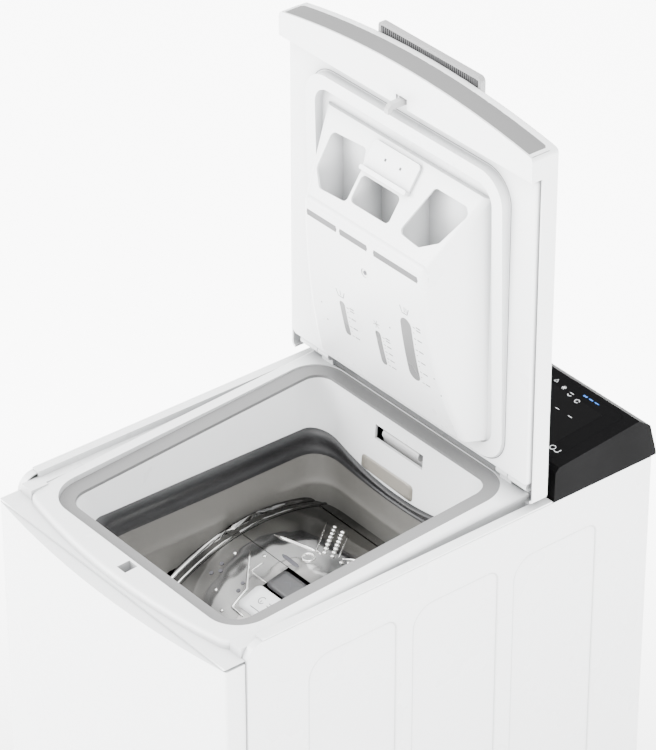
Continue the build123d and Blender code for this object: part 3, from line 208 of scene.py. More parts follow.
def bellows_rubber(name, change_z):
    """Black folded band above, smooth grey-brown band below."""
    s = Shader(name)
    height = s.axis("Z")
    soft = s.math("ADD", height, s.math("MULTIPLY", s.noise(25.0), 0.001))
    upper = s.between(soft, change_z - 0.001, change_z + 0.001)
    pale = s.mix(s.noise(9.0), (0.125, 0.122, 0.112), (0.15, 0.146, 0.135))
    s.color(s.mix(upper, pale, (0.012, 0.012, 0.013)))
    s.rough(s.between(s.noise(20.0), 0.3, 0.7, 0.42, 0.55))
    s.bump(s.noise(500.0), 0.2, 0.0001)
    return s.material


def glassy(name, low, high, roughness, coat=1.0, shine=0.5):
    s = Shader(name)
    s.color(s.mix(s.noise(4.0), low, high))
    s.rough(s.between(s.noise(11.0), 0.3, 0.7, roughness, roughness + 0.05))
    s.bump(s.noise(40.0), 0.05, 0.00004)
    s.set(Coat_Weight=coat, Coat_Roughness=0.03, Specular_IOR_Level=shine)
    return s.material


drum_low, drum_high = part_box("drum_shell")
taupe_top = drum_high[2] + 29 * MM
WHITE = (0.80, 0.81, 0.815), (0.83, 0.84, 0.845)
# tone of the painted shade in the white parts' corners and gaps
WHITE_PAINTED_GAP_SHADE = (0.30, 0.305, 0.31)
BLACK = (0.0012, 0.0012, 0.0014), (0.002, 0.002, 0.0022)
finishes = {
    "cabinet_steel": moulded("cabinet_steel", *WHITE, 0.24, 0.32, 600.0, 0.00003, 0.3, painted_gap_shade=WHITE_PAINTED_GAP_SHADE),
    "white_plastic": moulded("white_plastic", *WHITE, 0.26, 0.36, 1200.0, 0.00003, 0.2, painted_gap_shade=WHITE_PAINTED_GAP_SHADE),
    "grey_plastic": moulded("grey_plastic", (0.36, 0.36, 0.36), (0.42, 0.42, 0.42), 0.30, 0.42),
    "seal_rubber": moulded("seal_rubber", (0.150, 0.150, 0.150), (0.170, 0.170, 0.170), 0.45, 0.55),
    "bellows_rubber": bellows_rubber("bellows_rubber", taupe_top),
    "dark_plastic": moulded("dark_plastic", *BLACK, 0.5, 0.6, 1400.0, shine=0.04),
    "panel_glass": glassy("panel_glass", *BLACK, 0.30, 0.0, 0.04),
    "control_plastic": moulded("control_plastic", (0.045, 0.045, 0.047), (0.06, 0.06, 0.063), 0.30, 0.42),
    "window_plastic": glassy("window_plastic", (0.15, 0.15, 0.15), (0.17, 0.17, 0.17), 0.25, 0.1),
    "board": moulded("board", (0.02, 0.10, 0.04), (0.03, 0.14, 0.06), 0.40, 0.60),
    "tub_plastic": moulded("tub_plastic", (0.26, 0.26, 0.27), (0.32, 0.32, 0.33), 0.50, 0.65),
    "black_plastic": moulded("black_plastic", (0.02, 0.02, 0.022), (0.03, 0.03, 0.032), 0.40, 0.55),
    "base_plastic": moulded("base_plastic", (0.20, 0.20, 0.21), (0.25, 0.25, 0.26), 0.50, 0.65),
    # painted reflection: dark steel with brighter patches in its colour
    "stainless": drum_steel("stainless", (0.12, 0.12, 0.118), (0.42, 0.415, 0.405)),
    "steel": steel("steel", (0.50, 0.50, 0.50), (0.62, 0.62, 0.61), 0.28, 0.42),
    "concrete": moulded("concrete", (0.30, 0.29, 0.27), (0.42, 0.41, 0.38), 0.80, 0.95, 120.0, 0.0006),
    "motor_metal": steel("motor_metal", (0.12, 0.12, 0.13), (0.18, 0.18, 0.19), 0.40, 0.55),
    "pulley_metal": steel("pulley_metal", (0.55, 0.55, 0.55), (0.68, 0.68, 0.68), 0.35, 0.50),
    "belt_rubber": moulded("belt_rubber", (0.015, 0.015, 0.015), (0.03, 0.03, 0.03), 0.60, 0.75),
    "foot_rubber": moulded("foot_rubber", (0.02, 0.02, 0.02), (0.035, 0.035, 0.035), 0.60, 0.75),
}
extra = {
    # painted highlight: a brighter copy of the drum's steel for the raised ribs
    "rib_steel_painted_highlight": drum_steel("rib_steel_painted_highlight", (0.52, 0.515, 0.505), (0.86, 0.855, 0.84)),
    # painted shade: the taupe sleeve darkens in its folds and gaps by ambient occlusion
    "sleeve_taupe": moulded("sleeve_taupe", (0.105, 0.102, 0.094), (0.125, 0.121, 0.112), 0.42, 0.55,
                            500.0, 0.0001, painted_gap_shade=(0.05, 0.05, 0.047)),
    # dark tone of the painted shadow inside the dispenser's slots
    "slot_painted_shadow": moulded("slot_painted_shadow", (0.07, 0.07, 0.072), (0.10, 0.10, 0.102), 0.45, 0.55),
    # grey tone of the painted shade on the pressings' sloped walls
    "press_painted_shade": moulded("press_painted_shade", (0.50, 0.505, 0.51), (0.54, 0.545, 0.55), 0.28, 0.36, coat=0.2),
    "sticker": moulded("sticker", (0.22, 0.205, 0.18), (0.245, 0.23, 0.20), 0.35, 0.45),
    "white_ink": moulded("white_ink", (0.70, 0.72, 0.74), (0.78, 0.80, 0.82), 0.40, 0.50),
    "blue_ink": moulded("blue_ink", (0.02, 0.14, 0.55), (0.03, 0.18, 0.62), 0.40, 0.50),
    "grey_ink": moulded("grey_ink", (0.05, 0.05, 0.055), (0.07, 0.07, 0.075), 0.45, 0.55),
    # dark tone for printed marks, and painted shade standing in for holes, slots and the screw recess
    "dark_ink_and_painted_hole_shade": moulded("dark_ink_and_painted_hole_shade", (0.05, 0.05, 0.06), (0.08, 0.08, 0.09), 0.45, 0.55),
    "fold_rubber": moulded("fold_rubber", (0.010, 0.010, 0.011), (0.020, 0.020, 0.021), 0.38, 0.50,
                           500.0, 0.0001),
    # grey of the painted shade on the lid's free edge
    "edge_painted_shade_grey": moulded("edge_painted_shade_grey", (0.15, 0.15, 0.15), (0.17, 0.17, 0.17), 0.35, 0.45),
    "plate": moulded("plate", (0.74, 0.75, 0.76), (0.80, 0.81, 0.82), 0.35, 0.45),
}
for node, obj in frame["nodes"].items():
    obj.data.materials.clear()
    obj.data.materials.append(finishes[slot_of[node]])


def handle_finish(node):
    """Light grey rim round a darker ribbed tray."""
    s = Shader("handle_grip")
    low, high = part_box(node)
    place = s.coords()
    across = s.math("ABSOLUTE", s.axis("X", place))
    inside = s.between(across, high[0] - 4.4 * MM, high[0] - 4.0 * MM, 1.0, 0.0)
    below = s.between(s.axis("Z", place), high[2] - 4.4 * MM, high[2] - 4.0 * MM, 1.0, 0.0)
    front = s.between(s.axis("Y", place), high[1] - 2.6 * MM, high[1] - 2.4 * MM, 1.0, 0.0)
    tray = s.math("MULTIPLY", s.math("MULTIPLY", inside, below), front)
    rim = s.mix(s.noise(7.0), (0.30, 0.30, 0.30), (0.34, 0.34, 0.34))
    s.color(s.mix(tray, rim, (0.11, 0.11, 0.112)))
    s.rough(s.between(s.noise(14.0), 0.3, 0.7, 0.30, 0.42))
    s.set(Coat_Weight=0.1)
    return s.material


frame["nodes"]["lid_handle"].data.materials.clear()
frame["nodes"]["lid_handle"].data.materials.append(handle_finish("lid_handle"))


# ---- geometry helpers ---------------------------------------------------------------------------
def tree(node):
    """Ray-casting tree of one CAD node."""
    bm = bmesh.new()
    bm.from_mesh(frame["nodes"][node].data)
    built = BVHTree.FromBMesh(bm)
    bm.free()
    return built


trees = {}


def touch(node, start, direction, lift):
    """Where a ray meets a CAD node, lifted off it towards the ray's start."""
    if node not in trees:
        trees[node] = tree(node)
    hit, normal, _, _ = trees[node].ray_cast(Vector(start), Vector(direction).normalized())
    if hit is None:
        raise SystemExit(f"ray misses {node} from {tuple(start)}")
    return hit - Vector(direction).normalized() * lift


def mesh_piece(name, bm, material, body, smooth=True):
    """A mesh object made from bm, riding on a body."""
    mesh = bpy.data.meshes.new(name)
    bmesh.ops.recalc_face_normals(bm, faces=bm.faces)
    bm.to_mesh(mesh)
    bm.free()
    obj = bpy.data.objects.new(name, mesh)
    bpy.context.collection.objects.link(obj)
    mesh.materials.append(material)
    for polygon in mesh.polygons:
        polygon.use_smooth = smooth
    if body:
        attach(obj, body)
    return obj


def ribbon(bm, place, points, width, closed=False, steps=1):
    """A flat strip of one width along 2D points, each corner put on a surface by place(u, v)."""
    pts = [Vector(p) for p in points]
    if closed:
        pts.append(pts[0])
    fine = []
    for a, b in zip(pts, pts[1:]):
        fine += [a.lerp(b, i / steps) for i in range(steps)]
    fine.append(pts[-1])
    rows = []
    count = len(fine)
    for i, p in enumerate(fine):
        before = fine[i - 1] if i else (fine[-2] if closed else p)
        after = fine[i + 1] if i + 1 < count else (fine[1] if closed else p)
        along = (after - before).normalized()
        side = Vector((-along.y, along.x)) * width / 2
        rows.append([bm.verts.new(place(*(p + side))), bm.verts.new(place(*(p - side)))])
    for (a, b), (c, d) in zip(rows, rows[1:]):
        bm.faces.new((a, b, d, c))


def disc(bm, place, centre, radius, sides=24):
    """A flat round face on a surface."""
    turns = [2 * math.pi * i / sides for i in range(sides)]
    bm.faces.new([bm.verts.new(place(centre[0] + radius * math.cos(t), centre[1] + radius * math.sin(t)))
                  for t in turns])


def arc(cx, cy, r, a0, a1, n=14):
    """Points of an arc between two angles in degrees."""
    return [(cx + r * math.cos(math.radians(a0 + (a1 - a0) * i / n)),
             cy + r * math.sin(math.radians(a0 + (a1 - a0) * i / n))) for i in range(n + 1)]


def rounded(cx, cy, w, h, r, n=6):
    """Corner points of a rounded rectangle."""
    points = []
    for sx, sy, start in ((1, 1, 0), (-1, 1, 90), (-1, -1, 180), (1, -1, 270)):
        points += arc(cx + sx * (w / 2 - r), cy + sy * (h / 2 - r), r, start, start + 90, n)
    return points


def patch(name, place, width, height, corner, material, body, thick, cells=12):
    """A thin rounded plate laid on a surface."""
    bm = bmesh.new()
    rim = rounded(0, 0, width, height, corner)
    rings = []
    for k in (1.0, 0.66, 0.33):
        rings.append([bm.verts.new(place(u * k, v * k)) for u, v in rim])
    centre = bm.verts.new(place(0, 0))
    count = len(rim)
    for outer, inner in zip(rings, rings[1:]):
        for i in range(count):
            j = (i + 1) % count
            if (outer[i].co - outer[j].co).length < 1e-7:
                continue
            bm.faces.new((outer[i], outer[j], inner[j], inner[i]))
    for i in range(count):
        j = (i + 1) % count
        if (rings[-1][i].co - rings[-1][j].co).length > 1e-7:
            bm.faces.new((rings[-1][i], rings[-1][j], centre))
    bmesh.ops.remove_doubles(bm, verts=bm.verts, dist=1e-7)
    obj = mesh_piece(name, bm, material, None)
    solid = obj.modifiers.new("thick", "SOLIDIFY")
    solid.thickness = thick
    solid.offset = 0
    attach(obj, body)
    return obj


# ---- drum details -------------------------------------------------------------------------------
axle = joint_at["drum_spin"]["pos_m"]
drum_radius = (drum_high[2] - drum_low[2]) / 2
DRUM_DEGREE = 4.1  # mm round the drum's surface to one degree
latch_low, latch_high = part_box("drum_latch")
latch_y, latch_z = (latch_low[1] + latch_high[1]) / 2, (latch_low[2] + latch_high[2]) / 2
park = math.degrees(math.atan2(axle[1] - latch_y, latch_z - axle[2])) - 4.8


def on_drum(x_mm, angle, rise_mm=0.15):
    """A point of the drum's surface: millimetres along the axis, degrees forward of the doors' joint."""
    turn = math.radians(angle + park)
    reach = drum_radius + rise_mm * MM
    return Vector((x_mm * MM, axle[1] - reach * math.sin(turn), axle[2] + reach * math.cos(turn)))


def unrolled(x_mm, angle, further=0.0):
    """A point of the drum's unrolled surface, with both coordinates in millimetres."""
    return x_mm, angle * DRUM_DEGREE + further


def ridge(bm, points, width, height, closed=False, steps=6):
    """A half-round rib along points (x in mm, angle in degrees) of the drum's surface."""
    degree = math.radians(1) * drum_radius / MM
    pts = [Vector((x, a * degree)) for x, a in points]
    if closed:
        pts.append(pts[0])
    fine = []
    for a, b in zip(pts, pts[1:]):
        fine += [a.lerp(b, i / steps) for i in range(steps)]
    fine.append(pts[-1])
    section = ((-0.5, -0.3), (-0.36, 0.5), (-0.15, 0.92), (0.15, 0.92), (0.36, 0.5), (0.5, -0.3))
    rows = []
    for i, p in enumerate(fine):
        before = fine[i - 1] if i else (fine[-2] if closed else p)
        after = fine[i + 1] if i + 1 < len(fine) else (fine[1] if closed else p)
        along = (after - before).normalized()
        side = Vector((-along.y, along.x)) * width
        squeeze = 0.35 if not closed and i in (0, len(fine) - 1) else 1.0
        row = []
        for s, h in section:
            spot = p + side * s * squeeze
            row.append(bm.verts.new(on_drum(spot.x, spot.y / degree, h * height * squeeze)))
        rows.append(row)
    for low, high in zip(rows, rows[1:]):
        for i in range(len(section) - 1):
            bm.faces.new((low[i], low[i + 1], high[i + 1], high[i]))
    if not closed:
        bm.faces.new(rows[0])
        bm.faces.new(rows[-1])


def dome(bm, x, angle, radius, height, rings=4, sides=16):
    """A round pressing on the drum's surface."""
    degree = math.radians(1) * drum_radius / MM
    rows = []
    for k in range(rings):
        reach = radius * math.cos(k / rings * math.pi / 2)
        rise = height * math.sin(k / rings * math.pi / 2)
        rows.append([bm.verts.new(on_drum(x + reach * math.cos(2 * math.pi * i / sides),
                                          angle + reach * math.sin(2 * math.pi * i / sides) / degree,
                                          rise + 0.1)) for i in range(sides)])
    for low, high in zip(rows, rows[1:]):
        for i in range(sides):
            j = (i + 1) % sides
            bm.faces.new((low[i], low[j], high[j], high[i]))
    bm.faces.new(rows[-1])


# beads along both rims of the drum
for side, word in ((-1, "left"), (1, "right")):
    bm = bmesh.new()
    ridge(bm, [(side * 121, a) for a in range(0, 360, 5)], 9.0, 3.2, closed=True, steps=1)
    ridge(bm, [(side * 109, a) for a in range(0, 360, 5)], 4.0, 1.4, closed=True, steps=1)
    mesh_piece(f"drum_bead_{word}", bm, finishes["stainless"], "drum")

bm = bmesh.new()
for side in (-1, 1):
    ridge(bm, [(side * 75, 2.9), (side * 33, 12.4), (side * 28.5, 18.6), (side * 8, 18.8)], 3.6, 1.6)
    ridge(bm, [(side * 50, 3.2), (side * 50, 7.4), (side * 24, 7.6)], 2.0, 0.8)
    for x, angle in ((57, 1.4), (62.8, 17.5), (36, 21.0), (86, 6.0)):
        dome(bm, side * x, angle, 2.2, 1.2)
mesh_piece("front_door_ribs", bm, extra["rib_steel_painted_highlight"], "door_front")

bm = bmesh.new()
for side in (-1, 1):
    ridge(bm, [(side * 78, -6.0), (side * 25, -9.9)], 5.0, 2.0)
    ridge(bm, [(side * 70, -22.6), (side * 27, -10.2), (side * 18, -10.0)], 2.4, 1.0)
    ridge(bm, [(side * 34, -22.8), (side * 2, -13.0)], 2.4, 1.0)
    for k in range(8):
        t = k / 7
        dome(bm, side * (18.4 + 38.0 * t), -11.3 - 11.2 * t, 3.0, 1.8)
        dome(bm, side * (7.5 + 36.0 * t), -11.9 - 10.8 * t, 3.0, 1.8)
ridge(bm, [(-21.7 + 7 * math.cos(math.radians(a)), -6.5 + 7 * math.sin(math.radians(a)) / DRUM_DEGREE)
           for a in range(0, 360, 24)], 2.4, 1.2, closed=True, steps=1)
mesh_piece("rear_door_ribs", bm, extra["rib_steel_painted_highlight"], "door_rear")

# painted shade: dark discs stand in for the doors' holes
bm = bmesh.new()
for x, angle in ((-85.5, 10.7), (-85, 14.5), (-78.5, 12.5), (-44, 11.6), (-40, 14.0),
                 (85, 10.7), (85, 14.5), (78.5, 12.5)):
    disc(bm, lambda u, v, x=x, angle=angle: on_drum(x + u, angle + v / DRUM_DEGREE, 0.25), (0, 0), 2.4)
mesh_piece("front_door_holes", bm, extra["dark_ink_and_painted_hole_shade"], "door_front")

# painted shade: a dark strip stands in for the rear door's slot
bm = bmesh.new()
ridge(bm, [(-45, -2.3), (-16, -2.0)], 5.5, 0.5)
mesh_piece("rear_door_slot", bm, extra["dark_ink_and_painted_hole_shade"], "door_rear")

patch("opening_plate", lambda u, v: on_drum(u, 13.2 + v / DRUM_DEGREE, 0.55), 54, 34, 7,
      extra["plate"], "door_front", 0.6 * MM)
bm = bmesh.new()
for points in (arc(*unrolled(-6, 12.4), 4.2, 20, 300), (unrolled(-6, 12.4), unrolled(-6, 12.4, 3)),
               (unrolled(4, 12.9), unrolled(14, 12.9)), (unrolled(4, 12.0), unrolled(11, 12.0)),
               (unrolled(-12, 15.4), unrolled(12, 15.4))):
    ribbon(bm, lambda u, v: on_drum(u, v / DRUM_DEGREE, 0.95), points, 0.9)
mesh_piece("opening_marks", bm, extra["grey_ink"], "door_front")


def latch_point(u, v):
    """The push button's crowned face."""
    edge = max(abs(u) / 21.8, abs(v) / 14.3)
    return on_drum(u, 4.8 + v / DRUM_DEGREE, 1.9 - 1.9 * max(0.0, edge - 0.55) ** 2 * 4)


button = patch("door_button", latch_point, 43.6, 28.6, 7, finishes["control_plastic"], "latch", 1.6 * MM)
bm = bmesh.new()
ribbon(bm, lambda u, v: latch_point(u, v) + Vector((0, 0, 0.9 * MM)), ((-5, 0), (0, -4), (5, 0)), 1.0)
mesh_piece("door_button_mark", bm, extra["dark_ink_and_painted_hole_shade"], "latch")
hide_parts("drum_latch")

# ---- bellows: folded sleeve between the throat and the tub ---------------------------------------
bellows_low, bellows_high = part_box("bellows")
centre_y = (bellows_low[1] + bellows_high[1]) / 2


def wall_hit(node, angle, z):
    """Inner face of the throat or bellows seen from the middle at one angle and height."""
    if node not in trees:
        trees[node] = tree(node)
    way = Vector((math.cos(angle), math.sin(angle), 0))
    hit, _, _, distance = trees[node].ray_cast(Vector((0, centre_y, z)), way)
    return (hit, way) if hit is not None else (None, way)


COLUMNS = 120
sleeve_foot = drum_high[2] - 24 * MM
profile = [  # share of the way down, inward step in mm
    (0.00, 0.5), (0.05, 3.5), (0.16, 5.0), (0.24, 3.2), (0.34, 2.8), (0.42, 5.0), (0.50, 4.6)]
lower = [(0.0, 4.4), (0.08, 4.6), (0.40, 4.6), (0.46, 7.0), (0.50, 7.4), (0.54, 6.2), (0.92, 6.0), (1.0, 9.0)]
upper_bm, lower_bm = bmesh.new(), bmesh.new()
upper_rows, lower_rows = [], []
for i in range(COLUMNS):
    angle = 2 * math.pi * i / COLUMNS
    z = bellows_high[2] + 1 * MM
    while wall_hit("bellows", angle, z)[0] is None:
        z -= 0.5 * MM
    rim = z
    change = rim - 0.66 * (rim - taupe_top)
    upper_row, lower_row = [], []
    for share, step in profile:
        at = rim + (change - rim) * share / profile[-1][0]
        hit, way = wall_hit("bellows", angle, min(at, rim - 0.2 * MM))
        upper_row.append(upper_bm.verts.new(Vector((hit.x, hit.y, at)) - way * step * MM))
    for share, step in lower:
        at = change + (sleeve_foot - change) * share
        hit, way = wall_hit("bellows", angle, at)
        if hit is None:
            hit = Vector(lower_row[-1].co) + way * step * MM
        lower_row.append(lower_bm.verts.new(Vector((hit.x, hit.y, at)) - way * step * MM))
    upper_rows.append(upper_row)
    lower_rows.append(lower_row)
for bm, rows in ((upper_bm, upper_rows), (lower_bm, lower_rows)):
    for i in range(COLUMNS):
        a, b = rows[i], rows[(i + 1) % COLUMNS]
        for k in range(len(a) - 1):
            bm.faces.new((a[k], b[k], b[k + 1], a[k + 1]))
for name, bm, material in (("bellows_upper_fold", upper_bm, extra["fold_rubber"]),
                           ("bellows_lower_fold", lower_bm, extra["sleeve_taupe"])):
    piece = mesh_piece(name, bm, material, None)
    smooth = piece.modifiers.new("smooth", "SUBSURF")
    smooth.levels = smooth.render_levels = 1
    if name == "bellows_upper_fold":
        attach(piece, "cabinet")
    else:
        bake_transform(piece)

# ---- throat sticker, hinge strips ---------------------------------------------------------------
def rim_height(x):
    """Height of the throat's lower rim at its rear wall."""
    z = bellows_high[2]
    if "bellows" not in trees:
        trees["bellows"] = tree("bellows")
    while trees["bellows"].ray_cast(Vector((x, centre_y, z)), Vector((0, 1, 0)))[0] is None:
        z -= 0.5 * MM
    return z


def on_throat(u, v):
    x = (-22 + u) * MM
    z = max(taupe_top + 28 * MM + v * MM, rim_height(x) + 1.5 * MM)
    return touch("worktop", (x, centre_y, z), (0, 1, 0), 0.35 * MM)


patch("throat_sticker", on_throat, 86, 20, 5, extra["sticker"], "cabinet", 0.4 * MM)
hinge = joint_at["lid_hinge"]["pos_m"]


def on_hinge_edge(middle):
    """A place function for the worktop's strip in front of the hinge, round one x in mm."""
    return lambda u, v: touch("worktop", ((middle + u) * MM, hinge[1] - 3.5 * MM + v * MM, 1.0),
                              (0, 0, -1), 1.2 * MM)


for word, low_x, high_x in (("left", -95, -50), ("right", 60, 120)):
    patch(f"hinge_strip_{word}", on_hinge_edge((low_x + high_x) / 2), high_x - low_x, 5, 1.5,
          finishes["seal_rubber"], "cabinet", 2 * MM)

# ---- dispenser marks ----------------------------------------------------------------------------
box_low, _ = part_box("dispenser_box")


def on_dispenser(u, v):
    """A point of the dispenser's front face, in millimetres from the mid plane and above the hinge."""
    return touch("dispenser_box", (u * MM, box_low[1] - 0.05, hinge[2] + v * MM), (0, 1, 0), 0.12 * MM)


bm = bmesh.new()
gauges = ((-47.0, 116.0, 46.0, 9.0, 4), (10.0, 106.0, 46.0, 9.0, 5), (63.0, 132.0, 82.0, 18.0, 6))
for x, middle, height, width, count in gauges:
    for k in range(count * 2 - 1):
        v = middle + height / 2 - 5 - (height - 8) * k / (count * 2 - 2)
        long_mark = k % 2 == 0
        tick = x + width / 2
        ribbon(bm, on_dispenser, ((tick + 2.4, v), (tick + (6 if long_mark else 4), v)), 0.8)
        if long_mark:
            for j in range(2 if k == 0 else 1):
                w = v + 0.4 - 3.6 * j + (1.6 if k == 0 else 0)
                ribbon(bm, on_dispenser, ((x + width / 2 + 8, w), (x + width / 2 + 15, w)), 1.3, steps=2)
for x, v in ((-47.0, 148.0), (63.0, 182.0)):
    ribbon(bm, on_dispenser, ((x - 7, v + 5), (x - 4, v - 3), (x + 4, v - 3), (x + 7, v + 5)), 1.0, steps=3)
    ribbon(bm, on_dispenser, ((x, v - 1), (x, v + 5)), 0.8)
ribbon(bm, on_dispenser, ((66.0, 181.0), (66.0, 187.0)), 0.8)
for k in range(3):
    turn = math.radians(60 * k + 15)
    reach = Vector((math.cos(turn), math.sin(turn))) * 5.5
    ribbon(bm, on_dispenser, ((10 - reach.x, 138 - reach.y), (10 + reach.x, 138 + reach.y)), 0.7)
for x, v in ((-86, 118), (-82, 96), (34, 146), (98, 112), (104, 92)):
    disc(bm, on_dispenser, (x, v), 1.0, 10)
mesh_piece("level_marks", bm, extra["grey_ink"], "lid")



def face_point(u, v, top, foot):
    """A point on the straight line between two points of the face, above and below an opening."""
    a, b = on_dispenser(u, top), on_dispenser(u, foot)
    return a + (b - a) * ((top - v) / (top - foot))


# painted shadow: dark strips laid over the slot openings
slot_middle = 232.0  # mm above the hinge
slot_reach = 4.4     # mm from there to sound face above and below
bm = bmesh.new()
for x, width in ((-68.5, 50), (-16.5, 46), (52, 72)):
    ribbon(bm, lambda u, v: face_point(u, v, slot_middle + slot_reach, slot_middle - slot_reach),
           ((x - width / 2 + 1, slot_middle), (x + width / 2 - 1, slot_middle)), 7.4, steps=12)
mesh_piece("slot_shadows", bm, extra["slot_painted_shadow"], "lid")
bm = bmesh.new()
for x, middle, height, width, count in gauges:
    width += 3.4
    ribbon(bm, lambda u, v: face_point(u, v, middle + height / 2 + 1.5, middle - height / 2 - 1.5),
           rounded(x, middle, width - 2.4, height - 2.4, width / 2 - 1.3, 8), 2.2, closed=True)
    ribbon(bm, lambda u, v: face_point(u, v, middle + height / 2 + 1.5, middle - height / 2 - 1.5),
           ((x, middle + height / 2 - 2), (x, middle - height / 2 + 2)), width - 3, steps=3)
mesh_piece("window_faces", bm, finishes["window_plastic"], "lid")
screw_low, screw_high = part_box("dispenser_screw")
# painted shade: a dark disc in the screw's recess
bm = bmesh.new()
disc(bm, lambda u, v: touch("dispenser_screw", (u, screw_low[1] - 0.05, v), (0, 1, 0), 0.3 * MM),
     ((screw_low[0] + screw_high[0]) / 2, (screw_low[2] + screw_high[2]) / 2), 2.6 * MM, 16)
mesh_piece("screw_recess", bm, extra["dark_ink_and_painted_hole_shade"], "lid")

cap_low, cap_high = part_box("softener_cap")


def on_cap(u, v):
    height = cap_low[2] + (cap_high[2] - cap_low[2]) * v
    return touch("softener_cap", (u * MM, cap_low[1] - 0.05, height), (0, 1, 0), 0.1 * MM)


bm = bmesh.new()
for x in (-16, 8):
    ribbon(bm, on_cap, ((x - 1.5, 0.62), (x + 1.5, 0.62)), 0.08)
mesh_piece("cap_marks", bm, extra["grey_ink"], "softener_cap")

# ---- lid edge painted shade, liner line ---------------------------------------------------------
skin_low, skin_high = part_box("lid_skin")
liner_low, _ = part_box("lid_liner")
# painted shade: a grey band over the lid's free edge face
bm = bmesh.new()
rows = []
steps = 48
for i in range(steps + 1):
    x = (skin_low[0] + 2.5 * MM) + (skin_high[0] - skin_low[0] - 5 * MM) * i / steps
    row = []
    for y in (skin_low[1] + 2.2 * MM, skin_low[1] + 12 * MM, skin_high[1] - 12 * MM, skin_high[1] - 0.4 * MM):
        row.append(bm.verts.new(touch("lid_skin", (x, y, skin_high[2] + 0.05), (0, 0, -1), 0.25 * MM)))
    rows.append(row)
for a, b in zip(rows, rows[1:]):
    for k in range(3):
        bm.faces.new((a[k], a[k + 1], b[k + 1], b[k]))
mesh_piece("lid_edge_painted_shade", bm, extra["edge_painted_shade_grey"], "lid")


def on_liner(u, v):
    return touch("lid_liner", (u * MM, liner_low[1] - 0.05, hinge[2] + v * MM), (0, 1, 0), 0.15 * MM)


bm = bmesh.new()
ribbon(bm, on_liner, rounded(0, 188, 320, 352, 36, 10), 0.8, closed=True, steps=6)
mesh_piece("liner_line", bm, extra["grey_ink"], "lid")

# ---- side panel pressings -----------------------------------------------------------------------
_, side_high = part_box("side_panel_right")


def on_side(u, v):
    return touch("side_panel_right", (side_high[0] + 0.05, u * MM, v * MM), (-1, 0, 0), 0.12 * MM)


# painted shade: grey strips along the sloped walls of the side panel's pressings
bm = bmesh.new()
for middle in (-119.5, 18.5, 156.5):
    low, high = middle - 57.6, middle + 57.6
    top, foot = side_high[2] / MM - 52.4, side_high[2] / MM - 736.0
    outline = ([(low, foot), (low, top - 27)] + arc(low + 27, top - 27, 27, 180, 90, 10)
               + arc(high - 12, top - 12, 12, 90, 0, 6) + [(high, foot)])
    ribbon(bm, on_side, outline, 1.8, closed=True, steps=4)
mesh_piece("press_painted_shade_lines", bm, extra["press_painted_shade"], "cabinet")

# ---- control panel marks ------------------------------------------------------------------------
glass_low, glass_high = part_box("display_glass")
fascia_low, fascia_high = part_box("panel_fascia")
fascia_front = fascia_low[1]


def on_panel(u, v):
    """A point of the fascia: millimetres from the mid plane and from its front edge."""
    start = (u * MM, fascia_front + v * MM, fascia_high[2] + 0.05)
    over_glass = all(glass_low[k] < start[k] < glass_high[k] for k in (0, 1))
    return touch("display_glass" if over_glass else "panel_fascia", start, (0, 0, -1), 0.15 * MM)


def spoke(x, v, turn, near, far):
    """Two points on a line from (x, v) at an angle in radians."""
    return tuple((x + reach * math.cos(turn), v + reach * math.sin(turn)) for reach in (near, far))


bm = bmesh.new()
icons = ((82, 95), (97, 92), (111, 88.5), (125, 85.5))
x, v = icons[0]
ribbon(bm, on_panel, ((x - 2.4, v - 2), (x + 2.4, v - 2), (x, v + 2.6)), 1.0, closed=True)
x, v = icons[1]
for k in range(3):
    turn = math.radians(60 * k)
    ribbon(bm, on_panel, spoke(x, v, turn, -3, 3), 0.8)
x, v = icons[2]
ribbon(bm, on_panel, arc(x, v, 2.8, 200, 340, 8), 0.8)
ribbon(bm, on_panel, ((x - 2.8, v + 2.4), (x + 2.8, v + 2.4)), 0.8)
x, v = icons[3]
ribbon(bm, on_panel, arc(x, v, 2.8, 0, 330, 12), 0.8)
for u, v in ((60, 62), (80, 62), (100, 62), (120, 62), (140, 62)):
    ribbon(bm, on_panel, ((u - 3, v), (u + 3, v)), 0.7)
ribbon(bm, on_panel, arc(167, 14, 3.4, 60, 400, 12), 0.9)
ribbon(bm, on_panel, ((172, 11), (177, 11), (177, 17)), 0.9)
for spot in range(11):
    turn = math.radians(120 - 30 * spot)
    ribbon(bm, on_panel, spoke(-95, 53, turn, 28, 31), 0.8)
mesh_piece("panel_marks", bm, extra["white_ink"], "cabinet")
bm = bmesh.new()
for k in range(3):
    ribbon(bm, on_panel, ((122 + 9 * k, 97.5), (128 + 9 * k, 97.5)), 2.2 - 0.4 * k, steps=2)
mesh_piece("panel_blue_mark", bm, extra["blue_ink"], "cabinet")

# ---- floor, lights and camera -------------------------------------------------------------------
low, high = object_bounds()
bpy.ops.mesh.primitive_plane_add(size=40, location=(0, 0, low[2] - 0.0005))
floor = bpy.context.object
floor.name = "studio_floor"
ground = Shader("studio_floor")
ground.color(ground.mix(ground.noise(0.6), (0.70, 0.70, 0.70), (0.73, 0.73, 0.73)))
# painted light: the floor glows, dim near the machine as a painted shadow round it and bright further away
away = ground.add("ShaderNodeVectorMath", operation="LENGTH")
ground.link(ground.coords(), away.inputs[0])
floor_glow_painted_shadow = ground.between(away.outputs["Value"], 0.35, 1.40, 0.5, 7.2)
ground.link(floor_glow_painted_shadow, ground.bsdf.inputs["Emission Strength"])
ground.set(Roughness=0.9, Emission_Color=(1, 1, 1, 1))
floor.data.materials.append(ground.material)

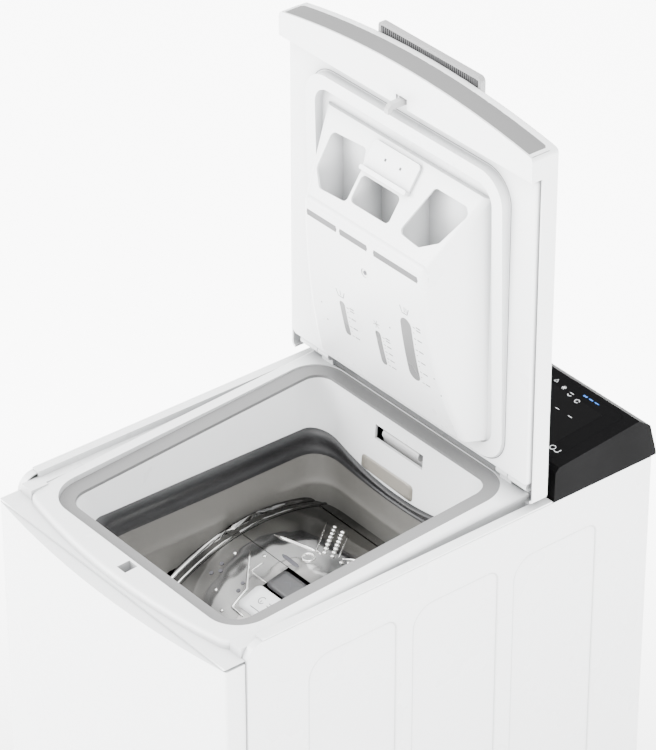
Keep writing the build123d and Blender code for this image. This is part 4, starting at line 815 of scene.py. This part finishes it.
world = bpy.context.scene.world or bpy.data.worlds.new("studio")
bpy.context.scene.world = world
world.use_nodes = True
sky = world.node_tree
sky.nodes["Background"].inputs["Color"].default_value = (1.0, 1.0, 1.0, 1.0)
aim = sky.nodes.new("ShaderNodeVectorMath")
aim.operation = "DOT_PRODUCT"
sky.links.new(sky.nodes.new("ShaderNodeTexCoord").outputs["Generated"], aim.inputs[0])
aim.inputs[1].default_value = Vector((-0.45, -0.62, 0.64)).normalized()
glow = sky.nodes.new("ShaderNodeMapRange")
sky.links.new(aim.outputs["Value"], glow.inputs[0])
for index, number in enumerate((-0.25, 0.95, 0.30, 3.4)):
    glow.inputs[index + 1].default_value = number
sky.links.new(glow.outputs[0], sky.nodes["Background"].inputs["Strength"])


def lamp(name, place, aim, size, power):
    data = bpy.data.lights.new(name, "AREA")
    data.shape = "RECTANGLE"
    data.size, data.size_y = size
    data.energy = power
    obj = bpy.data.objects.new(name, data)
    bpy.context.collection.objects.link(obj)
    obj.location = place
    obj.rotation_euler = (Vector(aim) - Vector(place)).to_track_quat("-Z", "Y").to_euler()
    return obj


lamp("key", (-2.6, -3.2, 2.6), (0, 0, 0.8), (2.4, 2.4), 330)
lamp("top", (0.3, -0.4, 3.6), (0, -0.05, 0.8), (2.6, 2.6), 95)
lamp("side", (2.4, -0.8, 3.4), (0, -0.1, 0.75), (1.4, 1.4), 115)

cam_data = bpy.data.cameras.new("camera")
cam = bpy.data.objects.new("camera", cam_data)
bpy.context.collection.objects.link(cam)
azimuth, elevation, roll = math.radians(51.087), math.radians(32.791), math.radians(-0.049)
back = Vector((math.sin(azimuth) * math.cos(elevation), -math.cos(azimuth) * math.cos(elevation),
               math.sin(elevation)))
flat = Vector((math.cos(azimuth), math.sin(azimuth), 0))
rise = back.cross(flat)
right = math.cos(roll) * flat + math.sin(roll) * rise
up = -math.sin(roll) * flat + math.cos(roll) * rise
place = Vector((0, 0, 0.858)) + back * 4.367656 + right * 0.005824 + up * 0.093755
cam.matrix_world = Matrix.Translation(place) @ Matrix((right, up, back)).transposed().to_4x4()
cam_data.sensor_width = 36
cam_data.lens = 197.997
cam_data.shift_y = 0.00048
cam_data.clip_end = 100
bpy.context.scene.camera = cam
